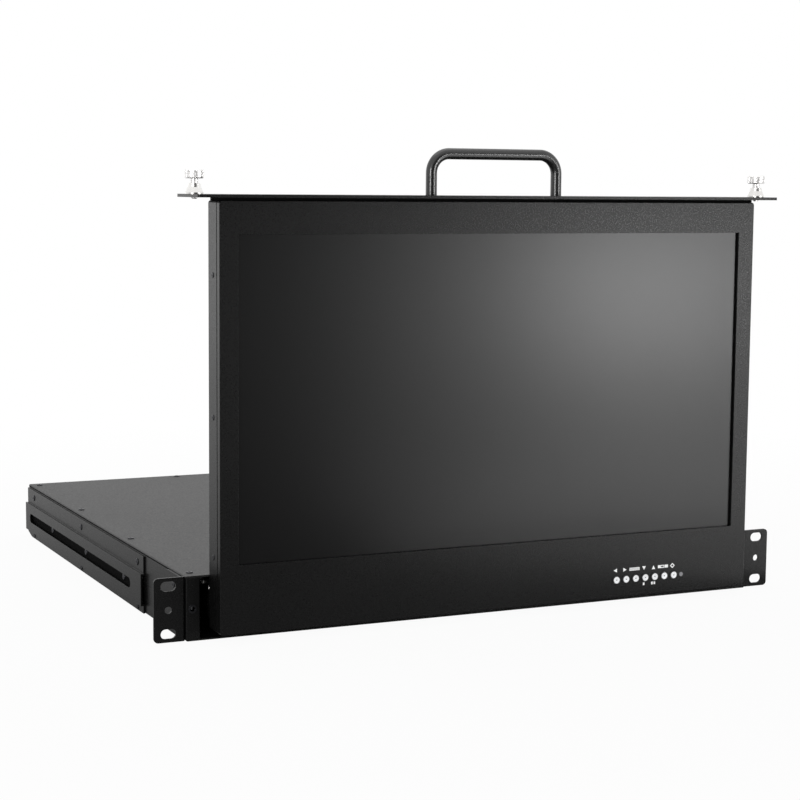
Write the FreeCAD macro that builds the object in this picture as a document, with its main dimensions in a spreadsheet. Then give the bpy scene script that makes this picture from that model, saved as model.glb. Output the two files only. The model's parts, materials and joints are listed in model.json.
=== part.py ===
"""Rack-mount pull-out LCD monitor drawer, one rack unit high.

Frame: +X to the user's right, +Y into the rack, +Z up, millimetres.  The origin is the
centre of the ear slot pattern on the rear faces of the ears, the faces that lie on the
rack posts.  The display stands upright in front of the chassis.
"""
import FreeCAD
import Part
import Sketcher
import math
import os

V = FreeCAD.Vector
doc = FreeCAD.newDocument("monitor_drawer")


# ---------------------------------------------------------------------------------------
# Driving sizes
# ---------------------------------------------------------------------------------------
SIZES = {
    # rack ears
    "rack_width": 482.6, "rack_unit": 44.45, "unit_gap": 1.45, "ear_sheet": 1.6,
    "ear_flange": 21.3, "ear_corner": 3.0, "ear_slot_edge": 9.8, "ear_slot_length": 10.5,
    "ear_slot_width": 6.6, "ear_hole_diameter": 4.8, "ear_flange_depth": 34.0,
    "ear_flange_inset": 1.0, "ear_bend": 1.5,
    # chassis
    "chassis_depth": 418.6, "chassis_lead": 3.8, "chassis_sheet": 1.2, "tray_drop": 1.0,
    "cover_sheet": 1.2, "cover_inset": 1.4, "bend_radius": 1.0, "front_flange": 9.3,
    "top_flange": 11.0, "flange_hole_diameter": 6.0, "insert_bore": 3.4, "insert_depth": 5.0,
    "insert_collar": 0.4, "insert_nut_radius": 3.1, "cover_screw_inset": 6.6,
    "cover_screw_front": 12.6, "cover_screw_rear": 9.1, "rear_tab": 10.0, "rear_tab_play": 1.0,
    "floor_vent_length": 150.0, "floor_vent_width": 5.0, "floor_vent_pitch": 14.0,
    "floor_vent_inset": 46.8, "rear_vent_length": 18.0, "rear_vent_width": 4.0,
    "rear_vent_pitch": 26.0,
    # side brackets
    "bracket_length": 328.8, "bracket_sheet": 1.2, "bracket_raise": 2.0,
    "bracket_slot_front": 25.0, "bracket_slot_rear": 14.0, "bracket_slot_width": 7.5,
    "bracket_chamfer_depth": 12.0, "bracket_chamfer_rise": 3.0, "bracket_screw_front": 14.0,
    "bracket_screw_rear": 20.8,
    # guide rails and carriage
    "rail_width": 7.6, "rail_height": 26.0, "rail_lift": 16.9, "rail_sheet": 1.2,
    "rail_front_gap": 0.6, "rail_rear_gap": 27.8, "rail_lip": 1.7, "rail_screw_inset": 79.8,
    "rail_screw_pitch": 100.0, "over_travel": 18.0, "runner_length": 84.0,
    "runner_stop_gap": 0.6, "runner_sheet": 1.2, "runner_flange": 4.6, "glide_length": 24.0,
    "glide_gap": 0.3, "runner_gap": 2.2, "carriage_sheet": 1.2, "carriage_drop": 2.3,
    "carriage_front": 10.0, "carriage_lip": 8.0, "carriage_window": 46.0,
    "carriage_tab_front": 2.0, "carriage_tab_low": 13.0,
    # display housing
    "panel_margin": 16.0, "panel_lift": 7.0, "panel_depth": 21.4, "panel_gap": 0.4,
    "panel_corner": 2.0, "bezel_side": 12.7, "bezel_chin": 45.6, "bezel_brow": 21.6,
    "bezel_wall": 2.0, "bezel_depth": 4.8, "bezel_edge": 0.6, "housing_sheet": 1.2,
    "seam_gap": 1.2, "seam_lip": 2.4, "opening_height": 214.2, "lip_play": 0.15,
    "module_post": 4.0, "module_post_inset": 30.0, "glass_thickness": 1.2, "glass_gap": 0.3,
    "glass_border": 3.0, "module_thickness": 8.6, "module_border": 5.0, "module_rim": 12.0,
    "module_hollow": 2.5, "module_corner": 1.5, "side_screw_low": 49.5,
    "side_screw_high": 47.9, "side_screw_depth": 13.2, "back_vent_length": 60.0,
    "back_vent_width": 3.5, "back_vent_pitch": 9.0,
    # hinge
    "hinge_inset": 10.7, "hinge_rise": 10.2, "hinge_arm_inset": 4.0, "hinge_arm_sheet": 3.0,
    "hinge_boss": 6.0, "hinge_arm_width": 8.4, "hinge_arm_back": 26.0, "hinge_arm_gap": 1.6,
    "hinge_pin_diameter": 5.0, "hinge_pin_play": 0.05, "hinge_pin_head": 4.0,
    "hinge_pin_head_height": 1.2, "hinge_pin_rivet": 0.7, "hinge_leaf_sheet": 2.4,
    "hinge_washer": 2.0, "hinge_leaf_height": 52.0, "hinge_leaf_play": 0.5, "hinge_leaf_width": 20.0,
    "hinge_slot_gap": 0.8, "hinge_corner": 3.0, "arm_screw_rear": 10.6,
    "arm_screw_rear_drop": 4.4, "arm_screw_front": 4.0, "arm_screw_front_drop": 5.8,
    # front plate, handle, thumb screws
    "plate_gap": 1.8, "plate_sheet": 2.0, "plate_ahead": 21.0, "plate_behind": 22.0,
    "plate_corner": 1.5, "handle_spread": 96.0, "handle_rise": 28.0, "handle_diameter": 7.6,
    "handle_bend": 13.0, "handle_screw": 4.0, "handle_screw_reach": 10.0,
    "handle_screw_play": 0.5, "gasket_inset": 3.0, "gasket_side": 1.0, "gasket_play": 0.5,
    "plate_screw_inset": 24.0, "plate_screw_pitch": 100.0, "thumb_inset": 4.4,
    "thumb_knob_diameter": 12.4, "thumb_knob_height": 5.6, "thumb_neck_diameter": 5.0,
    "thumb_travel": 3.1, "thumb_shank_diameter": 4.0, "thumb_shank_reach": 3.0,
    "thumb_groove_diameter": 3.2, "ferrule_base": 11.8, "ferrule_top": 8.0,
    "ferrule_height": 6.8, "ferrule_bore": 6.6, "ferrule_roof": 1.0, "ring_thickness": 0.9,
    "ring_play": 0.15, "spring_wire": 0.5, "thumb_play": 0.1,
    # keys
    "key_row_inset": 109.8, "button_pitch": 8.0, "key_row_lift": 13.1,
    "button_diameter": 5.5, "button_stand": 1.3, "button_travel": 0.5, "button_gap": 0.25,
    "button_flange": 7.0, "button_flange_thickness": 0.8, "button_stem": 0.9,
    "button_edge": 0.5, "button_dimple": 2.6, "button_dimple_depth": 0.35,
    "led_diameter": 3.0, "led_step": 6.8, "led_stand": 0.3, "key_board_sheet": 1.6,
    "key_board_height": 13.0, "key_board_margin": 9.0, "key_stud": 2.2,
    "key_stud_inset": 2.6, "switch_width": 6.0, "switch_height": 2.4,
    # rear electronics
    "board_depth": 26.0, "board_width": 168.0, "board_sheet": 1.6, "standoff_height": 5.0,
    "board_gap": 0.8, "standoff_inset": 5.0, "connector_inset": 27.5, "connector_play": 0.3,
    "connector_depth": 12.0, "power_width": 12.0, "power_height": 10.6, "power_reach": 0.6,
    "power_bore": 3.2, "power_pin": 1.0, "power_socket": 8.0, "digital_width": 14.6,
    "digital_height": 6.4, "digital_reach": 0.4, "digital_wall": 0.9, "digital_socket": 6.0,
    "video_width": 30.8, "video_height": 12.0, "video_reach": 4.4, "video_wall": 0.7,
    "video_shell_low": 8.2, "video_shell_high": 9.4, "video_shell_gap": 1.9,
    "video_jack": 2.2, "video_jack_inset": 2.9, "video_jack_reach": 2.0, "chip_inset": 4.0,
    "chip_depth": 12.0, "can_inset": 6.0, "can_radius": 3.0, "can_height": 8.0,
    # screws: shank radius, head radius and head height
    "m2_radius": 1.0, "m2_head": 1.9, "m2_head_height": 0.4, "m3_radius": 1.5,
    "m3_head": 2.6, "m3_head_height": 1.2, "m3_low_head": 2.4, "m3_low_head_height": 0.7,
    "m3_sunk_head": 3.0, "m4_head": 3.6, "m4_head_height": 1.5, "screw_play": 0.2,
}


class Size:
    """A length that knows its value and the sheet expression that it comes from."""

    def __init__(self, text, value):
        self.text = text
        self.value = value

    def join(self, other, sign, value):
        return Size("(%s %s %s)" % (self.text, sign, as_size(other).text), value)

    def __add__(self, other):
        return self.join(other, "+", self.value + as_size(other).value)

    def __radd__(self, other):
        return as_size(other) + self

    def __sub__(self, other):
        return self.join(other, "-", self.value - as_size(other).value)

    def __rsub__(self, other):
        return as_size(other) - self

    def __mul__(self, other):
        return self.join(other, "*", self.value * as_size(other).value)

    def __rmul__(self, other):
        return as_size(other) * self

    def __truediv__(self, other):
        return self.join(other, "/", self.value / as_size(other).value)

    def __neg__(self):
        return Size("(0 - %s)" % self.text, -self.value)


def as_size(number):
    """Accept a plain number where a Size is expected."""
    if isinstance(number, Size):
        return number
    return Size("(%.6f)" % number, float(number))


class Sheet:
    """The spreadsheet, with each alias readable as an attribute."""

    def __init__(self, values):
        self.sheet = doc.addObject("Spreadsheet::Sheet", "sizes")
        for row, (alias, value) in enumerate(values.items(), start=1):
            cell = "B%d" % row
            self.sheet.set("A%d" % row, alias)
            self.sheet.set(cell, "%g" % value)
            self.sheet.setAlias(cell, alias)
            setattr(self, alias, Size("sizes.%s" % alias, float(value)))


s = Sheet(SIZES)
doc.recompute()


# ---------------------------------------------------------------------------------------
# Building helpers
# ---------------------------------------------------------------------------------------
PLANES = {"x": "YZ_Plane", "y": "XZ_Plane", "z": "XY_Plane"}


def bind(thing, prop, size):
    thing.setExpression(prop, as_size(size).text)


def ordered(a, b):
    """Two sizes as low, high."""
    return (a, b) if a.value < b.value else (b, a)


def rect(u0, v0, u1, v1):
    return ("poly", [(u0, v0), (u1, v0), (u1, v1), (u0, v1)])


def poly(*points):
    return ("poly", list(points))


def circle(u, v, radius):
    return ("circle", (u, v, radius))


def slot(u, v, length, width):
    """A slot with round ends, centred on u, v and running along u."""
    return ("slot", (u, v, length, width))


class Piece:
    """A PartDesign body with pads and pockets given by an axis, outlines and two levels.

    Along x an outline is (y, z), along y it is (x, z) and along z it is (x, y).
    """

    def __init__(self, label):
        self.body = doc.addObject("PartDesign::Body", label)
        self.body.Label = label
        self.label = label
        self.count = 0

    def sketch(self, axis, outlines, level):
        self.count += 1
        origin = self.body.Origin.OriginFeatures
        plane = [f for f in origin if f.Role == PLANES[axis]][0]
        drawing = self.body.newObject("Sketcher::SketchObject", "%s_s%d" % (self.label, self.count))
        drawing.AttachmentSupport = [(plane, "")]
        drawing.MapMode = "FlatFace"
        offset = -as_size(level) if axis == "y" else as_size(level)
        bind(drawing, "AttachmentOffset.Base.z", offset)
        for kind, data in outlines:
            DRAW[kind](drawing, data)
        return drawing

    def pad(self, axis, outlines, low, high):
        start = high if axis == "y" else low
        drawing = self.sketch(axis, outlines, start)
        pad = self.body.newObject("PartDesign::Pad", "%s_pad%d" % (self.label, self.count))
        pad.Profile = drawing
        bind(pad, "Length", as_size(high) - as_size(low))
        return pad

    def pocket(self, axis, outlines, low, high):
        start = low if axis == "y" else high
        drawing = self.sketch(axis, outlines, start)
        cut = self.body.newObject("PartDesign::Pocket", "%s_cut%d" % (self.label, self.count))
        cut.Profile = drawing
        bind(cut, "Length", as_size(high) - as_size(low))
        doc.recompute()
        before = cut.BaseFeature.Shape.Volume
        if cut.Shape.Volume > before - 1e-3:
            raise RuntimeError("%s removes nothing" % cut.Name)
        return cut

    def turn(self, outlines, about="z"):
        """Revolve (radius, level) outlines about the body's own Z or Y axis."""
        drawing = self.sketch("y" if about == "z" else "z", outlines, 0)
        turned = self.body.newObject("PartDesign::Revolution", "%s_turn%d" % (self.label, self.count))
        turned.Profile = drawing
        turned.ReferenceAxis = (drawing, ["V_Axis"])
        turned.Angle = 360.0
        return turned

    def set_at(self, x, y, z):
        for letter, value in (("x", x), ("y", y), ("z", z)):
            bind(self.body, "Placement.Base.%s" % letter, value)

    def fillet(self, radius, wanted):
        """Round the edges of the tip that the test picks."""
        doc.recompute()
        tip = self.body.Tip
        names = ["Edge%d" % n for n, edge in enumerate(tip.Shape.Edges, 1) if wanted(edge)]
        if not names:
            raise RuntimeError("%s has no edge to round" % self.label)
        self.count += 1
        feature = self.body.newObject("PartDesign::Fillet", "%s_round%d" % (self.label, self.count))
        feature.Base = (tip, names)
        bind(feature, "Radius", radius)
        return feature


def pin_point(drawing, geo, pos, u, v):
    """Hold a sketch point at u, v from the sketch origin."""
    for kind, value in (("DistanceX", as_size(u)), ("DistanceY", as_size(v))):
        index = drawing.addConstraint(Sketcher.Constraint(kind, -1, 1, geo, pos, value.value))
        drawing.setExpression("Constraints[%d]" % index, value.text)


def draw_poly(drawing, points):
    ends = [V(as_size(u).value, as_size(v).value, 0) for u, v in points]
    first = None
    for n, (u, v) in enumerate(points):
        line = drawing.addGeometry(Part.LineSegment(ends[n], ends[(n + 1) % len(ends)]), False)
        first = line if first is None else first
        if n:
            drawing.addConstraint(Sketcher.Constraint("Coincident", line - 1, 2, line, 1))
        pin_point(drawing, line, 1, u, v)
    drawing.addConstraint(Sketcher.Constraint("Coincident", line, 2, first, 1))


def draw_circle(drawing, data):
    u, v, radius = [as_size(value) for value in data]
    disc = Part.Circle(V(u.value, v.value, 0), V(0, 0, 1), radius.value)
    geo = drawing.addGeometry(disc, False)
    pin_point(drawing, geo, 3, u, v)
    index = drawing.addConstraint(Sketcher.Constraint("Radius", geo, radius.value))
    drawing.setExpression("Constraints[%d]" % index, radius.text)


def draw_slot(drawing, data):
    u, v, length, width = [as_size(value) for value in data]
    r = width / 2
    reach = (length - width) / 2
    corners = [(u - reach, v - r), (u + reach, v - r), (u + reach, v + r), (u - reach, v + r)]
    at = [V(a.value, b.value, 0) for a, b in corners]
    low = drawing.addGeometry(Part.LineSegment(at[0], at[1]), False)
    middle = V((u + reach).value, v.value, 0)
    right = drawing.addGeometry(
        Part.ArcOfCircle(Part.Circle(middle, V(0, 0, 1), r.value), -math.pi / 2, math.pi / 2), False)
    high = drawing.addGeometry(Part.LineSegment(at[2], at[3]), False)
    middle = V((u - reach).value, v.value, 0)
    left = drawing.addGeometry(
        Part.ArcOfCircle(Part.Circle(middle, V(0, 0, 1), r.value), math.pi / 2, 3 * math.pi / 2), False)
    for a, pa, b, pb in ((low, 2, right, 1), (right, 2, high, 1), (high, 2, left, 1), (left, 2, low, 1)):
        drawing.addConstraint(Sketcher.Constraint("Coincident", a, pa, b, pb))
    pin_point(drawing, low, 1, *corners[0])
    pin_point(drawing, low, 2, *corners[1])
    pin_point(drawing, high, 1, *corners[2])
    pin_point(drawing, high, 2, *corners[3])
    for arc, centre in ((right, u + reach), (left, u - reach)):
        index = drawing.addConstraint(
            Sketcher.Constraint("DistanceX", -1, 1, arc, 3, centre.value))
        drawing.setExpression("Constraints[%d]" % index, centre.text)


DRAW = {"poly": draw_poly, "circle": draw_circle, "slot": draw_slot}


def runs_along(edge, axis):
    """True for a straight edge parallel to the axis."""
    if edge.Curve.TypeId != "Part::GeomLine":
        return False
    direction = edge.Curve.Direction
    return abs(abs(getattr(direction, axis)) - 1) < 1e-6


def at_corner(edge, **places):
    """True when the middle of the edge lies at the given coordinates."""
    centre = edge.CenterOfMass
    return all(abs(getattr(centre, axis) - as_size(place).value) < 0.05
               for axis, place in places.items())


TURNS = {"x": V(0, 1, 0), "y": V(-1, 0, 0), "z": V(0, 0, 1)}
names_used = {}


def fresh(name):
    names_used[name] = names_used.get(name, 0) + 1
    return "%s_%d" % (name, names_used[name])


def place(thing, at, axis="z"):
    """Put a primitive's origin at a point, its own Z along the axis."""
    if axis != "z":
        thing.Placement = FreeCAD.Placement(V(), FreeCAD.Rotation(TURNS[axis], 90))
    for letter, value in zip("xyz", at):
        bind(thing, "Placement.Base.%s" % letter, value)
    return thing


def box(name, low, high):
    solid = doc.addObject("Part::Box", fresh(name))
    for prop, a, b in zip(("Length", "Width", "Height"), low, high):
        bind(solid, prop, as_size(b) - as_size(a))
    return place(solid, low)


def rod(name, at, axis, radius, length):
    """A cylinder from a point along +x, +y or +z."""
    solid = doc.addObject("Part::Cylinder", fresh(name))
    bind(solid, "Radius", radius)
    bind(solid, "Height", length)
    return place(solid, at, axis)


def cone(name, at, axis, radius_1, radius_2, length):
    solid = doc.addObject("Part::Cone", fresh(name))
    bind(solid, "Radius1", radius_1)
    bind(solid, "Radius2", radius_2)
    bind(solid, "Height", length)
    return place(solid, at, axis)


def cut(name, base, *tools):
    """Base with the tools taken away, one after the other."""
    for tool in tools:
        result = doc.addObject("Part::Cut", fresh(name))
        result.Base = base
        result.Tool = tool
        base = result
    return base


def fuse(name, *solids):
    result = doc.addObject("Part::MultiFuse", fresh(name))
    result.Shapes = list(solids)
    return result


def moved(at, axis, step):
    """A point moved by a step along an axis."""
    return tuple(as_size(c) + (step if letter == axis else 0) for letter, c in zip("xyz", at))


def pan_screw(name, at, axis, way, head, head_height, shank, length):
    """A pan-head screw: the head's seat is at the point and the head stands out along way."""
    outward = as_size(head_height) if way > 0 else -as_size(head_height)
    inward = -as_size(length) if way > 0 else as_size(length)
    low_head = at if way > 0 else moved(at, axis, outward)
    low_shank = moved(at, axis, inward) if way > 0 else at
    return fuse(name, rod(name + "_head", low_head, axis, head, head_height),
                rod(name + "_shank", low_shank, axis, shank, length))


def m3_screw(at, axis, way, length):
    return pan_screw("m3_screw", at, axis, way, s.m3_head, s.m3_head_height, s.m3_radius, length)


subparts = {}


def keep(label, thing):
    """Register a finished sub-part under its own label."""
    thing.Label = label
    subparts[label] = thing
    return thing


def group(label, solids):
    """Identical fasteners as one sub-part of separate solids."""
    bundle = doc.addObject("Part::Compound", fresh(label))
    bundle.Links = list(solids)
    return keep(label, bundle)


def mirrored(label, source):
    """The right-hand twin of a left-hand sub-part, mirrored in the plane x = 0."""
    twin = doc.addObject("Part::Mirroring", fresh(label))
    twin.Source = source
    twin.Base = V(0, 0, 0)
    twin.Normal = V(1, 0, 0)
    return keep(label, twin)


# ---------------------------------------------------------------------------------------
# Places worked out from the sizes
# ---------------------------------------------------------------------------------------
ear_height = s.rack_unit - s.unit_gap
ear_slot_pitch = s.rack_unit * 5 / 7
ear_slot_x = s.rack_width / 2 - s.ear_slot_edge
wall_out = s.rack_width / 2 - s.ear_flange
wall_in = wall_out - s.chassis_sheet
bottom = -ear_height / 2
tray_height = ear_height - s.tray_drop
floor_top = bottom + s.chassis_sheet
tray_top = bottom + tray_height
cover_top = tray_top + s.cover_sheet
chassis_front = -s.chassis_lead
chassis_rear = chassis_front + s.chassis_depth
flange_in = wall_out - s.front_flange
thumb_x = wall_out - s.thumb_inset
bracket_front = chassis_rear - s.bracket_length
rail_centre = bottom + s.rail_lift
rail_front = chassis_front + s.chassis_sheet + s.insert_depth + s.rail_front_gap
runner_front = chassis_front + s.chassis_sheet + s.over_travel + s.runner_stop_gap
runner_rear = runner_front + s.runner_length
carriage_top = tray_top - s.carriage_drop

# Shares of the tray's height at which the side bracket ends and its face rises and falls.
BRACKET_SHARES = (0.9643, 0.669, 0.1262)

# The display stands just ahead of the chassis, with the hinge line inside its lower edge.
panel_side = wall_out - s.panel_margin
panel_bottom = bottom + s.panel_lift
panel_rear = chassis_front - s.panel_gap
panel_front = panel_rear - s.panel_depth
opening_side = panel_side - s.bezel_side
opening_low = panel_bottom + s.bezel_chin
opening_high = opening_low + s.opening_height
panel_top = opening_high + s.bezel_brow
hinge_y = panel_rear - s.hinge_inset
hinge_z = panel_bottom + s.hinge_rise

# The front plate covers the chassis mouth when the display lies flat and is pushed home, so
# the line of the thumb screws comes down to the height of the flange inserts.
plate_line = hinge_y - hinge_z
plate_low = panel_top + s.plate_gap
plate_top = plate_low + s.plate_sheet


# ---------------------------------------------------------------------------------------
# Chassis
# ---------------------------------------------------------------------------------------
def cover_screw_places():
    """Left-hand and right-hand rows on the top flanges, then two at the rear edge."""
    places = []
    first = chassis_front + s.cover_screw_front
    last = chassis_rear - s.cover_screw_rear
    for side in (-1, 1):
        for n in range(4):
            x = side * (wall_out - s.cover_screw_inset)
            places.append((x, first + n * (last - first) / 3))
    for side in (-1, 1):
        places.append((side * 0.41 * wall_out, chassis_rear - s.rear_tab / 2))
    return places


def make_chassis_tray():
    """Folded steel tray: floor, side walls, top flanges and the two front flanges."""
    tray = Piece("chassis_tray")
    inner_top = tray_top - s.chassis_sheet
    flange_edge = wall_out - s.top_flange
    profile = poly((-wall_out, bottom), (wall_out, bottom), (wall_out, tray_top),
                   (flange_edge, tray_top), (flange_edge, inner_top), (wall_in, inner_top),
                   (wall_in, floor_top), (-wall_in, floor_top), (-wall_in, inner_top),
                   (-flange_edge, inner_top), (-flange_edge, tray_top), (-wall_out, tray_top))
    tray.pad("y", [profile], chassis_front, chassis_rear)
    for side in (-1, 1):
        tray.pad("y", [rect(side * flange_in, bottom, side * wall_in, tray_top)],
                 chassis_front, chassis_front + s.chassis_sheet)
    holes = [circle(side * thumb_x, 0, s.flange_hole_diameter / 2) for side in (-1, 1)]
    tray.pocket("y", holes, chassis_front, chassis_front + s.chassis_sheet)
    screws = [circle(x, y, s.m3_radius) for x, y in cover_screw_places()[:8]]
    tray.pocket("z", screws, inner_top, tray_top)
    side_holes = [circle(y, rail_centre, s.m3_radius) for y in rail_screw_rows()]
    for z in bracket_screw_heights():
        side_holes += [circle(y, z, s.m3_radius) for y in bracket_screw_rows()]
    side_holes += [circle(s.ear_flange_depth / 2, z, s.m3_radius) for z in ear_screw_heights()]
    tray.pocket("x", side_holes, wall_in, wall_out)
    tray.pocket("x", side_holes, -wall_out, -wall_in)
    vent = chassis_rear - s.floor_vent_inset
    vents = [slot(0, vent - n * s.floor_vent_pitch, s.floor_vent_length, s.floor_vent_width)
             for n in range(3)]
    tray.pocket("z", vents, bottom, floor_top)
    tray.fillet(s.bend_radius, lambda e: abs(e.CenterOfMass.x) > wall_out.value - 0.05
                and (runs_along(e, "y") and e.Length > s.chassis_depth.value / 2
                     or runs_along(e, "z") and at_corner(e, y=chassis_front)))
    return keep("chassis_tray", tray.body)


def rail_screw_rows():
    last = chassis_rear - s.rail_screw_inset
    return [last - n * s.rail_screw_pitch for n in (2, 1, 0)]


def bracket_screw_rows():
    first = bracket_front + s.bracket_screw_front
    last = chassis_rear - s.bracket_screw_rear
    return [first, (first + last) / 2, last]


def bracket_screw_heights():
    top, face_top, face_low = bracket_levels()
    return [(bottom + face_low) / 2, (top + face_top) / 2]


def bracket_levels():
    """Top of the bracket, then top and bottom of its raised face."""
    return [bottom + share * tray_height for share in BRACKET_SHARES]


def ear_screw_heights():
    return [ear_slot_pitch * 0.4, -ear_slot_pitch * 0.4]


def make_top_cover():
    cover = Piece("top_cover")
    cover.pad("z", [rect(-wall_out, chassis_front + s.cover_inset, wall_out, chassis_rear)],
              tray_top, cover_top)
    clear = s.m3_radius + s.screw_play
    cover.pocket("z", [circle(x, y, clear) for x, y in cover_screw_places()], tray_top, cover_top)
    cover.fillet(s.cover_sheet * 2 / 3, lambda e: runs_along(e, "y")
                 and e.Length > s.chassis_depth.value / 2
                 and e.CenterOfMass.z > (tray_top + s.cover_sheet / 2).value)
    return keep("top_cover", cover.body)


def make_cover_screws():
    screws = []
    for x, y in cover_screw_places():
        screws.append(pan_screw("cover_screw", (x, y, cover_top), "z", 1, s.m3_low_head,
                                s.m3_low_head_height, s.m3_radius,
                                s.cover_sheet + 2 * s.chassis_sheet))
    return group("cover_screws", screws)


def make_rear_panel():
    """Plate across the back, with connector cut-outs and a tab for the cover screws."""
    panel = Piece("rear_panel")
    low_y = chassis_rear - s.chassis_sheet
    panel.pad("y", [rect(-wall_in, floor_top, wall_in, tray_top - s.chassis_sheet)],
              low_y, chassis_rear)
    tab_half = wall_out - s.top_flange - s.rear_tab_play
    panel.pad("z", [rect(-tab_half, chassis_rear - s.rear_tab, tab_half, chassis_rear)],
              tray_top - s.chassis_sheet, tray_top)
    panel.pocket("z", [circle(x, y, s.m3_radius) for x, y in cover_screw_places()[8:]],
                 tray_top - s.chassis_sheet, tray_top)
    panel.pocket("y", [grown(outline) for outline in connector_faces()], low_y, chassis_rear)
    first = s.board_width / 2 + s.rear_vent_pitch
    vents = [slot(side * (first + n * s.rear_vent_pitch), 0, s.rear_vent_length, s.rear_vent_width)
             for side in (-1, 1) for n in range(4)]
    panel.pocket("y", vents, low_y, chassis_rear)
    return keep("rear_panel", panel.body)


def make_flange_inserts():
    """Press-in nuts behind the front flanges for the thumb screws."""
    inserts = []
    for side in (-1, 1):
        at = (side * thumb_x, chassis_front - s.insert_collar, 0)
        barrel = rod("insert", at, "y", s.flange_hole_diameter / 2, s.insert_depth)
        nut_at = moved(at, "y", s.insert_collar + s.chassis_sheet)
        nut = rod("insert_nut", nut_at, "y", s.insert_nut_radius,
                  s.insert_depth - s.insert_collar - s.chassis_sheet)
        bore = rod("insert_bore", moved(at, "y", -1), "y", s.insert_bore / 2, s.insert_depth + 2)
        inserts.append(cut("insert", fuse("insert", barrel, nut), bore))
    return group("flange_inserts", inserts)


def make_rack_ear():
    """Left ear: folded angle with two fixing slots and a round hole."""
    ear = Piece("rack_ear_left")
    edge = s.rack_width / 2
    side = wall_out + s.ear_sheet
    half = ear_height / 2
    inset = s.ear_flange_inset
    ear.pad("y", [rect(-edge, -half, -wall_out, half)], -s.ear_sheet, 0)
    ear.pad("x", [rect(-s.ear_sheet, inset - half, s.ear_flange_depth, half - inset)],
            -side, -wall_out)
    x = -ear_slot_x
    holes = [slot(x, sign * ear_slot_pitch / 2, s.ear_slot_length, s.ear_slot_width)
             for sign in (-1, 1)]
    ear.pocket("y", holes + [circle(x, 0, s.ear_hole_diameter / 2)], -s.ear_sheet, 0)
    clear = s.m3_radius + s.screw_play
    ear.pocket("x", [circle(s.ear_flange_depth / 2, z, clear) for z in ear_screw_heights()],
               -side, -wall_out)
    ear.fillet(s.ear_corner, lambda e: runs_along(e, "y") and abs(e.CenterOfMass.x + edge.value)
               < 0.01)
    ear.fillet(s.ear_bend, lambda e: runs_along(e, "z")
               and at_corner(e, x=-wall_out, y=-s.ear_sheet))
    ear.fillet(s.ear_corner, lambda e: runs_along(e, "x")
               and at_corner(e, y=s.ear_flange_depth))
    return keep("rack_ear_left", ear.body)


def make_side_bracket():
    """Left hat-section bracket with the long slot for a rear support."""
    bracket = Piece("side_bracket_left")
    out = -wall_out
    skin = s.bracket_sheet
    raised = out - s.bracket_raise
    top, face_top, face_low = bracket_levels()
    profile = poly((out, bottom), (out, face_low + skin), (raised, face_low + skin),
                   (raised, face_top - skin), (out, face_top - skin), (out, top),
                   (out - skin, top), (out - skin, face_top), (raised - skin, face_top),
                   (raised - skin, face_low), (out - skin, face_low), (out - skin, bottom))
    bracket.pad("y", [profile], bracket_front, chassis_rear)
    slot_start = bracket_front + s.bracket_slot_front
    slot_end = chassis_rear - s.bracket_slot_rear
    length = slot_end - slot_start
    middle = (slot_end + slot_start) / 2
    bracket.pocket("x", [slot(middle, (face_top + face_low) / 2, length, s.bracket_slot_width)],
                   raised - skin, raised)
    corner = poly((chassis_rear - s.bracket_chamfer_depth, bottom), (chassis_rear, bottom),
                  (chassis_rear, bottom + s.bracket_chamfer_rise))
    bracket.pocket("x", [corner], out - skin, out)
    clear = s.m3_radius + s.screw_play
    holes = [circle(y, z, clear) for z in bracket_screw_heights() for y in bracket_screw_rows()]
    bracket.pocket("x", holes, out - skin, out)
    return keep("side_bracket_left", bracket.body)


def side_screw(at, side, sheet):
    return pan_screw("side_screw", at, "x", side, s.m3_low_head, s.m3_low_head_height, s.m3_radius,
                     sheet + s.chassis_sheet)


def make_side_screws():
    """Screws that hold the brackets and the ears to the side walls."""
    screws = []
    for side in (-1, 1):
        seat = side * (wall_out + s.bracket_sheet)
        for z in bracket_screw_heights():
            for y in bracket_screw_rows():
                screws.append(side_screw((seat, y, z), side, s.bracket_sheet))
        seat = side * (wall_out + s.ear_sheet)
        for z in ear_screw_heights():
            screws.append(side_screw((seat, s.ear_flange_depth / 2, z), side, s.ear_sheet))
    return group("side_screws", screws)


def rail_levels():
    half = s.rail_height / 2
    return rail_centre - half, rail_centre + half


def make_guide_rail():
    """Left lipped C-channel along the side wall."""
    rail = Piece("guide_rail_left")
    back = -wall_in
    front = back + s.rail_width
    low, high = rail_levels()
    skin = s.rail_sheet
    lip = s.rail_lip
    profile = poly((back, low), (front, low), (front, low + skin + lip),
                   (front - skin, low + skin + lip), (front - skin, low + skin),
                   (back + skin, low + skin), (back + skin, high - skin),
                   (front - skin, high - skin), (front - skin, high - skin - lip),
                   (front, high - skin - lip), (front, high), (back, high))
    rail.pad("y", [profile], rail_front, chassis_rear - s.rail_rear_gap)
    holes = [circle(y, rail_centre, s.m3_radius) for y in rail_screw_rows()]
    rail.pocket("x", holes, back, back + skin)
    return keep("guide_rail_left", rail.body)


def make_rail_screws():
    screws = []
    for side in (-1, 1):
        for y in rail_screw_rows():
            screws.append(m3_screw((side * wall_out, y, rail_centre), "x", side,
                                   s.chassis_sheet + s.rail_sheet))
    return group("guide_rail_screws", screws)


# ---------------------------------------------------------------------------------------
# Carriage
# ---------------------------------------------------------------------------------------
def runner_x():
    """Outer face and inner face of the left runner's web, as distances from the centre."""
    inner = wall_in - s.rail_width - s.runner_gap
    return inner + s.runner_sheet, inner


def glide_levels():
    low, high = rail_levels()
    return low + s.rail_sheet + s.glide_gap, high - s.rail_sheet - s.glide_gap


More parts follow.
